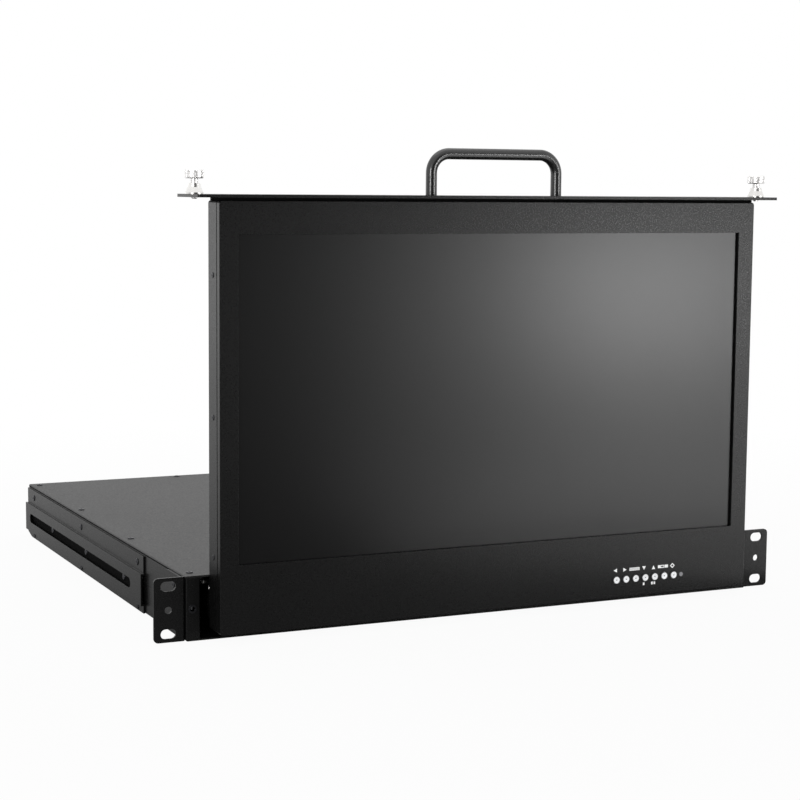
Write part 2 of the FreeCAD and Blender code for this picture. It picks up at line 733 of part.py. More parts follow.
def make_runner():
    """Left runner: a flat bar with a tongue that reaches into the channel."""
    runner = Piece("runner_left")
    out, inner = runner_x()
    low, high = rail_levels()
    low = low + s.rail_sheet + s.rail_lip + 2 * s.glide_gap
    high = high - s.rail_sheet - s.rail_lip - 2 * s.glide_gap
    tongue = out + s.runner_flange
    skin = s.runner_sheet
    profile = poly((-inner, low), (-inner, high), (-tongue, high), (-tongue, high - skin),
                   (-out, high - skin), (-out, low + skin), (-tongue, low + skin),
                   (-tongue, low))
    runner.pad("y", [profile], runner_front, runner_rear)
    runner.pocket("x", [circle(y, rail_centre, s.m3_radius) for y in carriage_screw_rows()],
                  -out, -inner)
    return keep("runner_left", runner.body)


def carriage_screw_rows():
    return [runner_front + s.runner_length * share for share in (0.15, 0.5, 0.85)]


def make_glides():
    """Nylon glide blocks clipped over the ends of each runner's tongues."""
    blocks = []
    low, high = rail_levels()
    slim_low, slim_high = glide_levels()
    tongue_low = low + s.rail_sheet + s.rail_lip + 2 * s.glide_gap
    tongue_high = high - s.rail_sheet - s.rail_lip - 2 * s.glide_gap
    channel_far = wall_in - s.rail_sheet - s.glide_gap
    channel_near = wall_in - s.rail_width + s.rail_sheet + s.glide_gap
    for side in (-1, 1):
        for start in (runner_front, runner_rear - s.glide_length):
            for z0, z1 in ((tongue_high, slim_high), (slim_low, tongue_low)):
                ends = ordered(side * channel_far, side * channel_near)
                blocks.append(box("glide", (ends[0], start, z0),
                                  (ends[1], start + s.glide_length, z1)))
    return group("glide_blocks", blocks)


def arm_faces():
    """Inner and outer face of a hinge arm, as distances from the centre."""
    half = s.hinge_arm_sheet / 2
    middle = panel_side - s.hinge_arm_inset
    return middle - half, middle + half


def arm_screw_places():
    """Screws of a hinge arm in (y, z): one inside the chassis and one just ahead of it."""
    return [(s.hinge_arm_back - s.arm_screw_rear, carriage_top - s.arm_screw_rear_drop),
            (panel_rear + s.arm_screw_front, carriage_top - s.arm_screw_front_drop)]


def make_carriage_plate():
    """Folded plate that ties the runners together and carries the hinge arms."""
    plate = Piece("carriage_plate")
    inner = runner_x()[1]
    arm_in = arm_faces()[0]
    skin = s.carriage_sheet
    top = carriage_top
    low = rail_levels()[0]
    front = s.carriage_front
    plate.pad("z", [rect(-inner, front, inner, runner_rear)], top - skin, top)
    edge_low = low + s.rail_sheet + s.rail_lip + 2 * s.glide_gap
    for side in (-1, 1):
        faces = ordered(side * inner, side * (inner - skin))
        plate.pad("x", [rect(runner_front, edge_low, runner_rear, top - skin)], *faces)
        faces = ordered(side * arm_in, side * (arm_in - skin))
        plate.pad("x", [rect(s.carriage_tab_front, bottom + s.carriage_tab_low, s.hinge_arm_back,
                             top)], *faces)
    plate.pad("y", [rect(-inner, top - s.carriage_lip, inner, top - skin)], runner_rear - skin,
              runner_rear)
    middle = (s.hinge_arm_back + runner_rear) / 2
    half = s.carriage_window / 2
    windows = [rect(x - 0.23 * inner, middle - half, x + 0.23 * inner, middle + half)
               for x in (-0.53 * inner, 0, 0.53 * inner)]
    plate.pocket("z", windows, top - skin, top)
    rows = [circle(y, rail_centre, s.m3_radius) for y in carriage_screw_rows()]
    plate.pocket("x", rows, inner - skin, inner)
    plate.pocket("x", rows, -inner, skin - inner)
    fixings = [circle(y, z, s.m3_radius) for y, z in arm_screw_places()]
    plate.pocket("x", fixings, arm_in - skin, arm_in)
    plate.pocket("x", fixings, -arm_in, skin - arm_in)
    return keep("carriage_plate", plate.body)


def make_carriage_screws():
    screws = []
    seat = runner_x()[1] - s.carriage_sheet
    for side in (-1, 1):
        for y in carriage_screw_rows():
            screws.append(m3_screw((side * seat, y, rail_centre), "x", -side,
                                   s.carriage_sheet + s.runner_sheet))
    return group("carriage_screws", screws)


def make_hinge_arm():
    """Left arm: round boss at the pivot, beam into the chassis and an upright fixing lug."""
    arm = Piece("hinge_arm_left")
    arm_in, arm_out = arm_faces()
    half = s.hinge_arm_width / 2
    y, z = hinge_y, hinge_z
    arm.pad("x", [circle(y, z, s.hinge_boss)], -arm_out, -arm_in)
    back = s.hinge_arm_back
    lug_front = panel_rear + s.hinge_arm_gap
    lug_top = carriage_top - s.carriage_sheet - s.glide_gap
    arm.pad("x", [poly((y, z - half), (back, z - half), (back, lug_top), (lug_front, lug_top),
                       (lug_front, z + half), (y, z + half))], -arm_out, -arm_in)
    arm.pocket("x", [circle(y, z, s.hinge_pin_diameter / 2 + s.hinge_pin_play)], -arm_out, -arm_in)
    fixings = [circle(y, z, s.m3_radius) for y, z in arm_screw_places()]
    arm.pocket("x", fixings, -arm_out, -arm_in)
    arm.fillet(s.hinge_corner, lambda e: runs_along(e, "x") and (at_corner(e, y=back)))
    return keep("hinge_arm_left", arm.body)


def make_hinge_arm_screws():
    screws = []
    arm_out = arm_faces()[1]
    for side in (-1, 1):
        for y, z in arm_screw_places():
            screws.append(pan_screw("arm_screw", (side * arm_out, y, z), "x", side, s.m3_low_head,
                                    s.m4_head_height, s.m3_radius,
                                    s.hinge_arm_sheet + s.carriage_sheet))
    return group("hinge_arm_screws", screws)


# ---------------------------------------------------------------------------------------
# Display
# ---------------------------------------------------------------------------------------
bezel_back = panel_front + s.bezel_depth
shell_front = bezel_back + s.seam_gap
front_inside = panel_front + s.bezel_wall
glass_front = front_inside + s.glass_gap
module_front = glass_front + s.glass_thickness
module_back = module_front + s.module_thickness
key_line = panel_bottom + s.key_row_lift
key_stem_end = front_inside + s.button_gap + s.button_flange_thickness + s.button_stem
key_board_front = key_stem_end + s.button_travel + 0.05 + s.switch_height
board_rear = chassis_rear - s.chassis_sheet - s.board_gap


def button_places():
    first = panel_side - s.key_row_inset
    return [first + n * s.button_pitch for n in range(7)]


def key_stud_places():
    reach = s.key_board_margin - s.key_stud_inset
    return [button_places()[0] - reach, led_place() + reach]


def led_place():
    return button_places()[-1] + s.led_step


def make_front_bezel():
    """Front frame with the screen opening and the key holes."""
    bezel = Piece("front_bezel")
    bezel.pad("y", [rect(-panel_side, panel_bottom, panel_side, panel_top)],
              panel_front, bezel_back)
    wall = s.housing_sheet
    bezel.pocket("y", [rect(wall - panel_side, panel_bottom + wall, panel_side - wall,
                            panel_top - wall)], front_inside, bezel_back)
    bezel.pocket("y", [rect(-opening_side, opening_low, opening_side, opening_high)],
                 panel_front, front_inside)
    keys = [circle(x, key_line, s.button_diameter / 2 + s.button_gap)
            for x in button_places()]
    keys.append(circle(led_place(), key_line, s.led_diameter / 2 + s.hinge_pin_play))
    bezel.pocket("y", keys, panel_front, front_inside)
    studs = [circle(x, key_line, s.key_stud) for x in key_stud_places()]
    bezel.pad("y", studs, front_inside, key_board_front)
    bezel.fillet(s.panel_corner, lambda e: runs_along(e, "y")
                 and abs(abs(e.CenterOfMass.x) - panel_side.value) < 0.01)
    bezel.fillet(s.bezel_edge, lambda e: abs(e.CenterOfMass.y - panel_front.value) < 0.01
                 and e.Curve.TypeId == "Part::GeomLine"
                 and (abs(abs(e.CenterOfMass.x) - panel_side.value) < 0.01
                      or abs(e.CenterOfMass.z - panel_bottom.value) < 0.01
                      or abs(e.CenterOfMass.z - panel_top.value) < 0.01))
    return keep("front_bezel", bezel.body)


def hinge_slot_outline():
    """Notch across the rear bottom corner, in (y, z), that lets the arm swing."""
    reach = s.hinge_arm_width / 2 + s.hinge_slot_gap
    return poly((hinge_y - reach, panel_bottom), (panel_rear, panel_bottom),
                (panel_rear, hinge_z + reach), (hinge_y, hinge_z + reach),
                (hinge_y - reach, hinge_z))


def frame_outline(outer, inner):
    """A rectangular ring that follows the housing, given as two insets from its outside."""
    rings = []
    for inset in (outer, inner):
        rings.append(rect(inset - panel_side, panel_bottom + inset, panel_side - inset,
                          panel_top - inset))
    return rings


def make_rear_cover():
    """Rear shell: back wall, side walls, an inner lip behind the seam and hinge notches."""
    shell = Piece("rear_cover")
    wall = s.housing_sheet
    low = panel_bottom
    shell.pad("y", [rect(-panel_side, low, panel_side, panel_top)], shell_front, panel_rear)
    shell.pocket("y", [rect(wall - panel_side, low + wall, panel_side - wall, panel_top - wall)],
                 shell_front, panel_rear - wall)
    shell.fillet(s.panel_corner, lambda e: runs_along(e, "y")
                 and abs(abs(e.CenterOfMass.x) - panel_side.value) < 0.01)
    inset = wall + s.lip_play
    lip_front = shell_front - s.seam_gap - s.seam_lip
    lip_back = shell_front + s.seam_lip
    shell.pad("y", frame_outline(inset, inset + wall), lip_front, shell_front)
    shell.pad("y", frame_outline(wall, inset + wall), shell_front, lip_back)
    post_x = opening_side - s.module_post_inset
    posts = [circle(side * post_x, z, s.module_post) for side in (-1, 1)
             for z in (opening_low + s.module_post_inset, opening_high - s.module_post_inset)]
    shell.pad("y", posts, module_back, panel_rear - wall)
    arm_in, arm_out = arm_faces()
    boss = circle(hinge_y, hinge_z, s.hinge_boss + s.hinge_slot_gap)
    for side in (-1, 1):
        faces = ordered(side * (arm_in - s.hinge_slot_gap), side * (arm_out + s.hinge_slot_gap))
        shell.pocket("x", [hinge_slot_outline()], *faces)
        shell.pocket("x", [boss], *faces)
    holes = [circle(side * leaf_screw_x(), z, s.m3_radius) for side in (-1, 1)
             for z in leaf_screw_rows()]
    shell.pocket("y", holes, panel_rear - wall, panel_rear)
    shell.pocket("z", [circle(x, plate_line, s.m3_radius) for x in plate_screw_rows()],
                 panel_top - wall, panel_top)
    y = panel_front + s.side_screw_depth
    rows = [circle(y, z, s.m2_radius) for z in side_screw_rows()]
    shell.pocket("x", rows, panel_side - wall, panel_side)
    shell.pocket("x", rows, -panel_side, wall - panel_side)
    middle = (opening_low + opening_high) / 2
    vents = [slot(side * 0.44 * panel_side, middle + n * s.back_vent_pitch, s.back_vent_length,
                  s.back_vent_width) for side in (-1, 1) for n in range(-2, 3)]
    shell.pocket("y", vents, panel_rear - wall, panel_rear)
    return keep("rear_cover", shell.body)


def side_screw_rows():
    first = panel_bottom + s.side_screw_low
    last = panel_top - s.side_screw_high
    return [first, (first + last) / 2, last]


def make_rear_cover_screws():
    screws = []
    y = panel_front + s.side_screw_depth
    for side in (-1, 1):
        for z in side_screw_rows():
            screws.append(pan_screw("shell_screw", (side * panel_side, y, z), "x", side,
                                    s.m2_head, s.m2_head_height, s.m2_radius, s.housing_sheet))
    return group("rear_cover_screws", screws)


def make_lcd():
    """Cover glass behind the bezel and the flat display module behind the glass."""
    side = opening_side + s.glass_border
    glass = box("glass", (-side, glass_front, opening_low - s.glass_border),
                (side, module_front, opening_high + s.glass_border))
    keep("lcd_glass", glass)
    module = Piece("lcd_module")
    side = opening_side + s.module_border
    low = opening_low - s.module_border
    high = opening_high + s.module_border
    module.pad("y", [rect(-side, low, side, high)], module_front, module_back)
    rim = s.module_rim
    module.pocket("y", [rect(rim - side, low + rim, side - rim, high - rim)],
                  module_back - s.module_hollow, module_back)
    module.fillet(s.module_corner, lambda e: runs_along(e, "y")
                  and abs(abs(e.CenterOfMass.x) - side.value) < 0.01)
    return keep("lcd_module", module.body)


def make_key_board():
    """Narrow circuit board on two bezel studs, with a tact switch behind each key."""
    low_x = button_places()[0] - s.key_board_margin
    high_x = led_place() + s.key_board_margin
    half = s.key_board_height / 2
    board = Piece("key_board")
    board.pad("y", [rect(low_x, key_line - half, high_x, key_line + half)],
              key_board_front, key_board_front + s.key_board_sheet)
    reach = s.switch_width / 2
    switches = [rect(x - reach, key_line - reach, x + reach, key_line + reach)
                for x in button_places()]
    board.pad("y", switches, key_board_front - s.switch_height, key_board_front)
    board.pocket("y", [circle(x, key_line, s.m2_radius) for x in key_stud_places()],
                 key_board_front, key_board_front + s.key_board_sheet)
    return keep("key_board", board.body)


def make_led():
    front = panel_front - s.led_stand
    lens = rod("led", (led_place(), front, key_line), "y", s.led_diameter / 2,
               key_board_front - front)
    return keep("led_lens", lens)


def make_button(number, x):
    """Round key: domed cap with a finger dimple, retaining flange and stem."""
    key = Piece("button_%d" % number)
    cap = s.button_diameter / 2
    seat = front_inside + s.button_gap
    foot = seat + s.button_flange_thickness
    front = panel_front - s.button_stand
    key.turn([poly((0, front + s.button_dimple_depth), (s.button_dimple / 2, front),
                   (cap - s.button_edge, front), (cap, front + s.button_edge), (cap, seat),
                   (s.button_flange / 2, seat), (s.button_flange / 2, foot), (cap / 2, foot),
                   (cap / 2, key_stem_end), (0, key_stem_end))], about="y")
    key.set_at(x, 0, key_line)
    return keep("button_%d" % number, key.body)


def leaf_screw_x():
    return arm_faces()[0] - s.hinge_washer - s.hinge_leaf_width / 2


def leaf_screw_rows():
    return [hinge_z + s.hinge_leaf_height * share for share in (0.35, 0.62, 0.89)]


def make_hinge_leaf():
    """Left hinge leaf: an ear on the pivot pin, folded into a base on the back wall."""
    leaf = Piece("hinge_leaf_left")
    ear_out = arm_faces()[0] - s.hinge_washer
    ear_in = ear_out - s.hinge_leaf_sheet
    y, z = hinge_y, hinge_z
    wall_face = panel_rear - s.housing_sheet
    top = z + s.hinge_leaf_height
    base_front = wall_face - s.hinge_leaf_sheet
    leaf.pad("x", [circle(y, z, s.hinge_boss)], -ear_out, -ear_in)
    base_low = z + s.hinge_boss + s.hinge_washer
    step = opening_low - s.module_border - s.hinge_leaf_sheet
    leaf.pad("x", [poly((y - s.hinge_boss, z), (y + s.hinge_boss, z), (wall_face, base_low),
                        (wall_face, top), (base_front, top), (module_back + s.hinge_leaf_play, step),
                        (y - s.hinge_boss, base_low + s.hinge_boss))], -ear_out, -ear_in)
    leaf.pad("y", [rect(-ear_out, base_low, s.hinge_leaf_width - ear_out, top)], base_front,
             wall_face)
    leaf.pocket("x", [circle(y, z, s.hinge_pin_diameter / 2)], -ear_out, -ear_in)
    leaf.pocket("y", [circle(-leaf_screw_x(), row, s.m3_radius) for row in leaf_screw_rows()],
                base_front, wall_face)
    leaf.fillet(s.hinge_corner, lambda e: runs_along(e, "y")
                and abs(e.CenterOfMass.x - (s.hinge_leaf_width - ear_out).value) < 0.01)
    return keep("hinge_leaf_left", leaf.body)


def make_hinge_leaf_screws():
    screws = []
    seat = panel_rear - s.housing_sheet - s.hinge_leaf_sheet
    for side in (-1, 1):
        for z in leaf_screw_rows():
            screws.append(m3_screw((side * leaf_screw_x(), seat, z), "y", -1,
                                   s.hinge_leaf_sheet + s.housing_sheet))
    return group("hinge_leaf_screws", screws)


def make_hinge_pin():
    """Left pivot pin: head inside the leaf, shaft through the arm and a riveted end."""
    arm_in, arm_out = arm_faces()
    ear_in = arm_in - s.hinge_washer - s.hinge_leaf_sheet
    y, z = hinge_y, hinge_z
    radius = s.hinge_pin_diameter / 2
    end = arm_out + s.hinge_pin_play
    head = rod("pin_head", (-ear_in, y, z), "x", s.hinge_pin_head, s.hinge_pin_head_height)
    shaft = rod("pin_shaft", (-end, y, z), "x", radius, end - ear_in)
    rivet = rod("pin_rivet", (-end - s.hinge_pin_rivet, y, z), "x", radius + s.hinge_pin_rivet,
                s.hinge_pin_rivet)
    return keep("hinge_pin_left", fuse("hinge_pin", head, shaft, rivet))


def make_friction_washers():
    """Two spring washers on each pin, squeezed between the leaf and the arm."""
    washers = []
    arm_in = arm_faces()[0]
    thickness = (s.hinge_washer - s.hinge_pin_play) / 2
    for side in (-1, 1):
        for n in range(2):
            near = arm_in - s.hinge_washer + n * thickness
            ends = ordered(side * near, side * (near + thickness))
            at = (ends[0], hinge_y, hinge_z)
            disc = rod("washer", at, "x", s.hinge_boss - s.hinge_slot_gap, thickness)
            bore = rod("washer_bore", moved(at, "x", -s.hinge_washer), "x",
                       s.hinge_pin_diameter / 2 + s.hinge_pin_play, 3 * s.hinge_washer)
            washers.append(cut("washer", disc, bore))
    return group("friction_washers", washers)


def plate_screw_rows():
    outer = panel_side - s.plate_screw_inset
    return [side * (outer - n * s.plate_screw_pitch) for side in (-1, 1) for n in range(2)]


def sunk_head(x):
    """The cone of a countersunk screw, flush with the plate's top."""
    depth = s.m3_sunk_head - s.m3_radius
    return cone("sunk_head", (x, plate_line, plate_top - depth), "z", s.m3_radius, s.m3_sunk_head,
                depth)


def make_front_plate():
    """Plate that closes the rack opening when the display is stowed."""
    plate = Piece("front_plate")
    half = wall_out
    plate.pad("z", [rect(-half, plate_line - s.plate_ahead, half, plate_line + s.plate_behind)],
              plate_low, plate_top)
    holes = [circle(side * thumb_x, plate_line, s.thumb_shank_diameter / 2 + s.thumb_play)
             for side in (-1, 1)]
    holes += [circle(side * s.handle_spread / 2, plate_line, s.handle_screw / 2)
              for side in (-1, 1)]
    holes += [circle(x, plate_line, s.m3_radius) for x in plate_screw_rows()]
    plate.pocket("z", holes, plate_low, plate_top)
    plate.fillet(s.plate_corner, lambda e: runs_along(e, "z")
                 and abs(abs(e.CenterOfMass.x) - half.value) < 0.01)
    sinks = [sunk_head(x) for x in plate_screw_rows()]
    return keep("front_plate", cut("plate_sunk", plate.body, *sinks))


def make_plate_gasket():
    half = panel_side - s.gasket_side
    pad = box("gasket", (-half, panel_front + s.gasket_inset, panel_top),
              (half, panel_rear - s.gasket_inset, plate_low))
    low = panel_top - s.plate_gap
    holes = [rod("gasket_hole", (x, plate_line, low), "z", s.m3_radius, 3 * s.plate_gap)
             for x in plate_screw_rows()]
    clear = s.m4_head + s.gasket_play
    holes += [rod("gasket_hole", (side * s.handle_spread / 2, plate_line, low), "z", clear,
                  3 * s.plate_gap) for side in (-1, 1)]
    return keep("plate_gasket", cut("gasket", pad, *holes))


def make_plate_screws():
    screws = []
    low = panel_top - s.housing_sheet
    length = plate_top + s.m3_radius - s.m3_sunk_head - low
    for x in plate_screw_rows():
        shank = rod("sunk_shank", (x, plate_line, low), "z", s.m3_radius, length)
        screws.append(fuse("plate_screw", sunk_head(x), shank))
    return group("plate_screws", screws)


def make_handle():
    """Round bar bent twice, standing on the front plate."""
    handle = Piece("handle")
    half = s.handle_spread / 2
    bend = s.handle_bend
    high = plate_top + s.handle_rise
    profile = handle.sketch("z", [circle(-half, plate_line, s.handle_diameter / 2)], plate_top)
    route = handle.sketch("y", [], plate_line)
    points = [(-half, plate_top), (-half, high - bend), (bend - half, high), (half - bend, high),
              (half, high - bend), (half, plate_top)]
    at = [V(as_size(u).value, as_size(v).value, 0) for u, v in points]
    legs = []
    for a, b in ((0, 1), (2, 3), (4, 5)):
        line = route.addGeometry(Part.LineSegment(at[a], at[b]), False)
        pin_point(route, line, 1, *points[a])
        pin_point(route, line, 2, *points[b])
        legs.append(line)
    turns = (((bend - half), (high - bend), math.pi / 2, math.pi, legs[1], 1, legs[0], 2),
             ((half - bend), (high - bend), 0, math.pi / 2, legs[2], 1, legs[1], 2))
    for u, v, start, end, first, first_end, last, last_end in turns:
        ring = Part.Circle(V(u.value, v.value, 0), V(0, 0, 1), bend.value)
        arc = route.addGeometry(Part.ArcOfCircle(ring, start, end), False)
        route.addConstraint(Sketcher.Constraint("Coincident", arc, 1, first, first_end))
        route.addConstraint(Sketcher.Constraint("Coincident", arc, 2, last, last_end))
        index = route.addConstraint(Sketcher.Constraint("DistanceX", -1, 1, arc, 3, u.value))
        route.setExpression("Constraints[%d]" % index, u.text)
    doc.recompute()
    pipe = handle.body.newObject("PartDesign::AdditivePipe", "handle_pipe")
    pipe.Profile = profile
    pipe.Spine = (route, ["Edge%d" % (n + 1) for n in range(len(route.Shape.Edges))])
    handle.pocket("z", [circle(side * half, plate_line, s.handle_screw / 2) for side in (-1, 1)],
                  plate_top, plate_top + s.handle_screw_reach)
    return keep("handle", handle.body)


def make_handle_screws():
    screws = []
    for side in (-1, 1):
        at = (side * s.handle_spread / 2, plate_line, plate_low)
        screws.append(pan_screw("handle_screw", at, "z", -1, s.m4_head, s.m4_head_height,
                                s.handle_screw / 2,
                                s.plate_sheet + s.handle_screw_reach - s.handle_screw_play))
    return group("handle_screws", screws)


def thumb_at(piece):
    """Stand a revolved thumb-screw piece on the left end of the front plate."""
    piece.set_at(-thumb_x, plate_line, plate_top)


def make_thumb_ferrule():
    """Flared ferrule that holds the captive screw."""
    ferrule = Piece("thumb_ferrule_left")
    bore = s.ferrule_bore / 2
    roof = s.ferrule_height - s.ferrule_roof
    neck = s.thumb_neck_diameter / 2 + s.thumb_play
    base = s.ferrule_base / 2
    top = s.ferrule_top / 2
    ferrule.turn([poly((bore, 0), (base, 0), (base, s.ferrule_roof),
                       (0.2 * base + 0.8 * top, 0.65 * s.ferrule_height), (top, s.ferrule_height),
                       (neck, s.ferrule_height), (neck, roof), (bore, roof))])
    thumb_at(ferrule)
    return keep("thumb_ferrule_left", ferrule.body)


def ring_low():
    return s.ferrule_height - s.ferrule_roof - s.ring_play - s.ring_thickness


def make_thumb_screw():
    """Captive screw: knurled knob, neck, groove for the ring, shank with a lead-in."""
    screw = Piece("thumb_screw_left")
    knob = s.thumb_knob_diameter / 2
    knob_low = s.ferrule_height + s.thumb_travel
    knob_top = knob_low + s.thumb_knob_height
    neck = s.thumb_neck_diameter / 2
    shank = s.thumb_shank_diameter / 2
    groove = s.thumb_groove_diameter / 2
    play = s.ring_play / 3
    low = ring_low() - play
    high = low + s.ring_thickness + 2 * play
    tip = -s.thumb_shank_reach
    lead = 0.3 * shank
    edge = 0.1 * knob
    screw.turn([poly((0, tip), (shank - lead, tip), (shank, tip + lead), (shank, low),
                     (groove, low), (groove, high), (neck, high), (neck, knob_low),
                     (knob - edge, knob_low), (knob, knob_low + edge), (knob, knob_top - edge),
                     (knob - edge, knob_top), (0, knob_top))])
    outside = knob + edge / 2
    notch = screw.pocket("z", [poly((knob - edge / 2, 0), (outside, -edge), (outside, edge))],
                         knob_low, knob_top)
    ring = screw.body.newObject("PartDesign::PolarPattern", "thumb_knurl")
    ring.Originals = [notch]
    ring.Axis = (screw.body.Origin.OriginFeatures[2], [""])
    ring.Angle = 360.0
    ring.Occurrences = 18
    screw.body.Tip = ring
    thumb_at(screw)
    return keep("thumb_screw_left", screw.body)


def make_thumb_ring():
    """Retaining ring in the screw's groove; it slides with the screw but doesn't turn."""
    ring = Piece("thumb_ring_left")
    low = ring_low()
    inner = s.thumb_groove_diameter / 2 + s.ring_play / 3
    outer = s.ferrule_bore / 2 - s.ring_play
    ring.turn([rect(inner, low, outer, low + s.ring_thickness)])
    thumb_at(ring)
    return keep("thumb_ring_left", ring.body)


def make_thumb_spring():
    """Coil spring round the shank, between the front plate and the ring."""
    wire = s.spring_wire / 2
    coil = doc.addObject("Part::Helix", "spring_path")
    radius = (s.thumb_shank_diameter / 2 + s.ferrule_bore / 2) / 2
    bind(coil, "Radius", radius)
    height = ring_low() - s.spring_wire - s.ring_play
    bind(coil, "Height", height)
    bind(coil, "Pitch", height / 2)
    section = doc.addObject("Part::RegularPolygon", "spring_section")
    section.Polygon = 6
    bind(section, "Circumradius", wire)
    section.Placement = FreeCAD.Placement(V(), FreeCAD.Rotation(V(1, 0, 0), 90))
    place_x, place_y = -thumb_x, plate_line
    base = plate_top + wire + s.ring_play / 2
    for thing, shift in ((coil, 0), (section, radius)):
        for letter, value in zip("xyz", (place_x + shift, place_y, base)):
            bind(thing, "Placement.Base.%s" % letter, value)
    doc.recompute()
    sweep = doc.addObject("Part::Sweep", "thumb_spring_left")
    sweep.Sections = [section]
    sweep.Spine = (coil, ["Edge%d" % (n + 1) for n in range(len(coil.Shape.Edges))])
    sweep.Solid = True
    sweep.Frenet = True
    return keep("thumb_spring_left", sweep)


# ---------------------------------------------------------------------------------------
# Rear electronics
# ---------------------------------------------------------------------------------------
def board_top():
    return floor_top + s.standoff_height + s.board_sheet


def standoff_places():
    inset = s.standoff_inset
    x = s.board_width / 2 - inset
    rows = (board_rear - inset, board_rear - s.board_depth + inset)
    return [(side * x, y) for side in (-1, 1) for y in rows]


def connector_faces():
    """Outer outlines of the sockets in (x, z): power, video and digital video."""
    low = board_top()
    reach = s.board_width / 2 - s.connector_inset
    sockets = ((-reach, s.power_width, s.power_height), (0, s.video_width, s.video_height),
               (reach, s.digital_width, s.digital_height))
    return [rect(x - width / 2, low, x + width / 2, low + height)
            for x, width, height in sockets]


def grown(outline, play=None):
    """A rectangle with a little more room on every side."""
    (u0, v0), _, (u1, v1), _ = outline[1]
    play = play or s.connector_play
    return rect(u0 - play, v0 - play, u1 + play, v1 + play)


def make_control_board():
    """Input board that stands on the floor behind the rear panel."""
    board = Piece("control_board")
    half = s.board_width / 2
    top = board_top()
    front = board_rear - s.board_depth
    board.pad("z", [rect(-half, front, half, board_rear)], top - s.board_sheet, top)
    chip_front = front + s.chip_inset
    chips = [rect(low * half, chip_front, high * half, chip_front + s.chip_depth)
             for low, high in ((-0.4, -0.26), (0.28, 0.5))]
    board.pad("z", chips, top, top + s.board_sheet)
    cans = [circle(share * half, front + s.can_inset, s.can_radius)
            for share in (-0.84, -0.7, 0.7, 0.84)]
    board.pad("z", cans, top, top + s.can_height)
    board.pocket("z", [circle(x, y, s.m3_radius) for x, y in standoff_places()],
                 top - s.board_sheet, top)
    return keep("control_board", board.body)


def make_standoffs():
    """Hexagonal posts on the floor, each with the board's screw in its top."""
    posts = []
    for x, y in standoff_places():
        post = doc.addObject("Part::Prism", fresh("standoff"))
        post.Polygon = 6
        bind(post, "Circumradius", s.m3_head)
        bind(post, "Height", s.standoff_height)
        place(post, (x, y, floor_top))
        screw = m3_screw((x, y, board_top()), "z", 1, s.board_sheet)
        posts.append(fuse("standoff", post, screw))
    return group("board_standoffs", posts)


def connector_body(name, outline, front, rear):
    """A block with the socket's outline, standing on the board."""
    (u0, v0), _, (u1, v1), _ = outline[1]
    return box(name, (u0, front, v0), (u1, rear, v1))


def shell_outline(low, high, inset):
    """The D-shaped mouth of a video socket, wider at the top."""
    wide = s.video_shell_high - inset
    narrow = s.video_shell_low - inset
    return poly((-narrow, low + inset), (narrow, low + inset), (wide, high - inset),
                (-wide, high - inset))


def make_vga_connector():
    outline = connector_faces()[1]
    (left, floor), _, (right, roof), _ = outline[1]
    seat = chassis_rear - s.chassis_sheet - s.connector_play
    rear = chassis_rear + s.video_reach
    low, high = floor + s.video_shell_gap, roof - s.video_shell_gap
    shell = Piece("vga_shell")
    shell.pad("y", [shell_outline(low, high, 0)], seat, rear)
    shell.pocket("y", [shell_outline(low, high, s.video_wall)], chassis_rear, rear)
    jack = (floor + roof) / 2
    posts = [rod("vga_post", (x, seat, jack), "y", s.video_jack,
                 chassis_rear - seat + s.video_jack_reach)
             for x in (left + s.video_jack_inset, right - s.video_jack_inset)]
    body = connector_body("vga_body", outline, seat - s.connector_depth, seat)
    return keep("vga_connector", fuse("vga", body, shell.body, *posts))


def make_hdmi_connector():
    outline = connector_faces()[2]
    front = chassis_rear - s.chassis_sheet - s.connector_depth
    outer = connector_body("hdmi_body", outline, front, chassis_rear + s.digital_reach)
    mouth = connector_body("hdmi_mouth", grown(outline, -s.digital_wall),
                           chassis_rear - s.digital_socket, chassis_rear + 2 * s.digital_reach)
    return keep("hdmi_connector", cut("hdmi", outer, mouth))


def make_dc_inlet():
    outline = connector_faces()[0]
    (left, low), _, (right, high), _ = outline[1]
    front = chassis_rear - s.chassis_sheet - s.connector_depth
    socket = connector_body("dc_body", outline, front, chassis_rear + s.power_reach)
    centre = ((left + right) / 2, chassis_rear - s.power_socket, (low + high) / 2)
    bore = rod("dc_bore", centre, "y", s.power_bore, s.power_socket + 2 * s.power_reach)
    pin = rod("dc_pin", centre, "y", s.power_pin, s.power_socket)
    return keep("dc_inlet", fuse("dc", cut("dc", socket, bore), pin))


# ---------------------------------------------------------------------------------------
# Build, check and write
# ---------------------------------------------------------------------------------------
TWINS = ("rack_ear", "side_bracket", "guide_rail", "runner", "hinge_arm", "hinge_leaf",
         "hinge_pin", "thumb_ferrule", "thumb_screw", "thumb_ring", "thumb_spring")


def build():
    for make in (make_chassis_tray, make_top_cover, make_cover_screws, make_rear_panel,
                 make_flange_inserts, make_rack_ear, make_side_bracket, make_side_screws,
                 make_guide_rail, make_rail_screws, make_runner, make_glides,
                 make_carriage_plate, make_carriage_screws, make_hinge_arm,
                 make_hinge_arm_screws, make_hinge_pin, make_friction_washers, make_hinge_leaf,
                 make_hinge_leaf_screws, make_front_bezel, make_rear_cover,
                 make_rear_cover_screws, make_lcd, make_key_board, make_led, make_front_plate,
                 make_plate_gasket, make_plate_screws, make_handle, make_handle_screws,
                 make_thumb_ferrule, make_thumb_screw, make_thumb_ring, make_thumb_spring,
                 make_control_board, make_standoffs, make_vga_connector, make_hdmi_connector,
                 make_dc_inlet):
        make()
    for number, x in enumerate(button_places(), 1):
        make_button(number, x)
    doc.recompute()
    for stem in TWINS:
        mirrored(stem + "_right", subparts[stem + "_left"])
    doc.recompute()


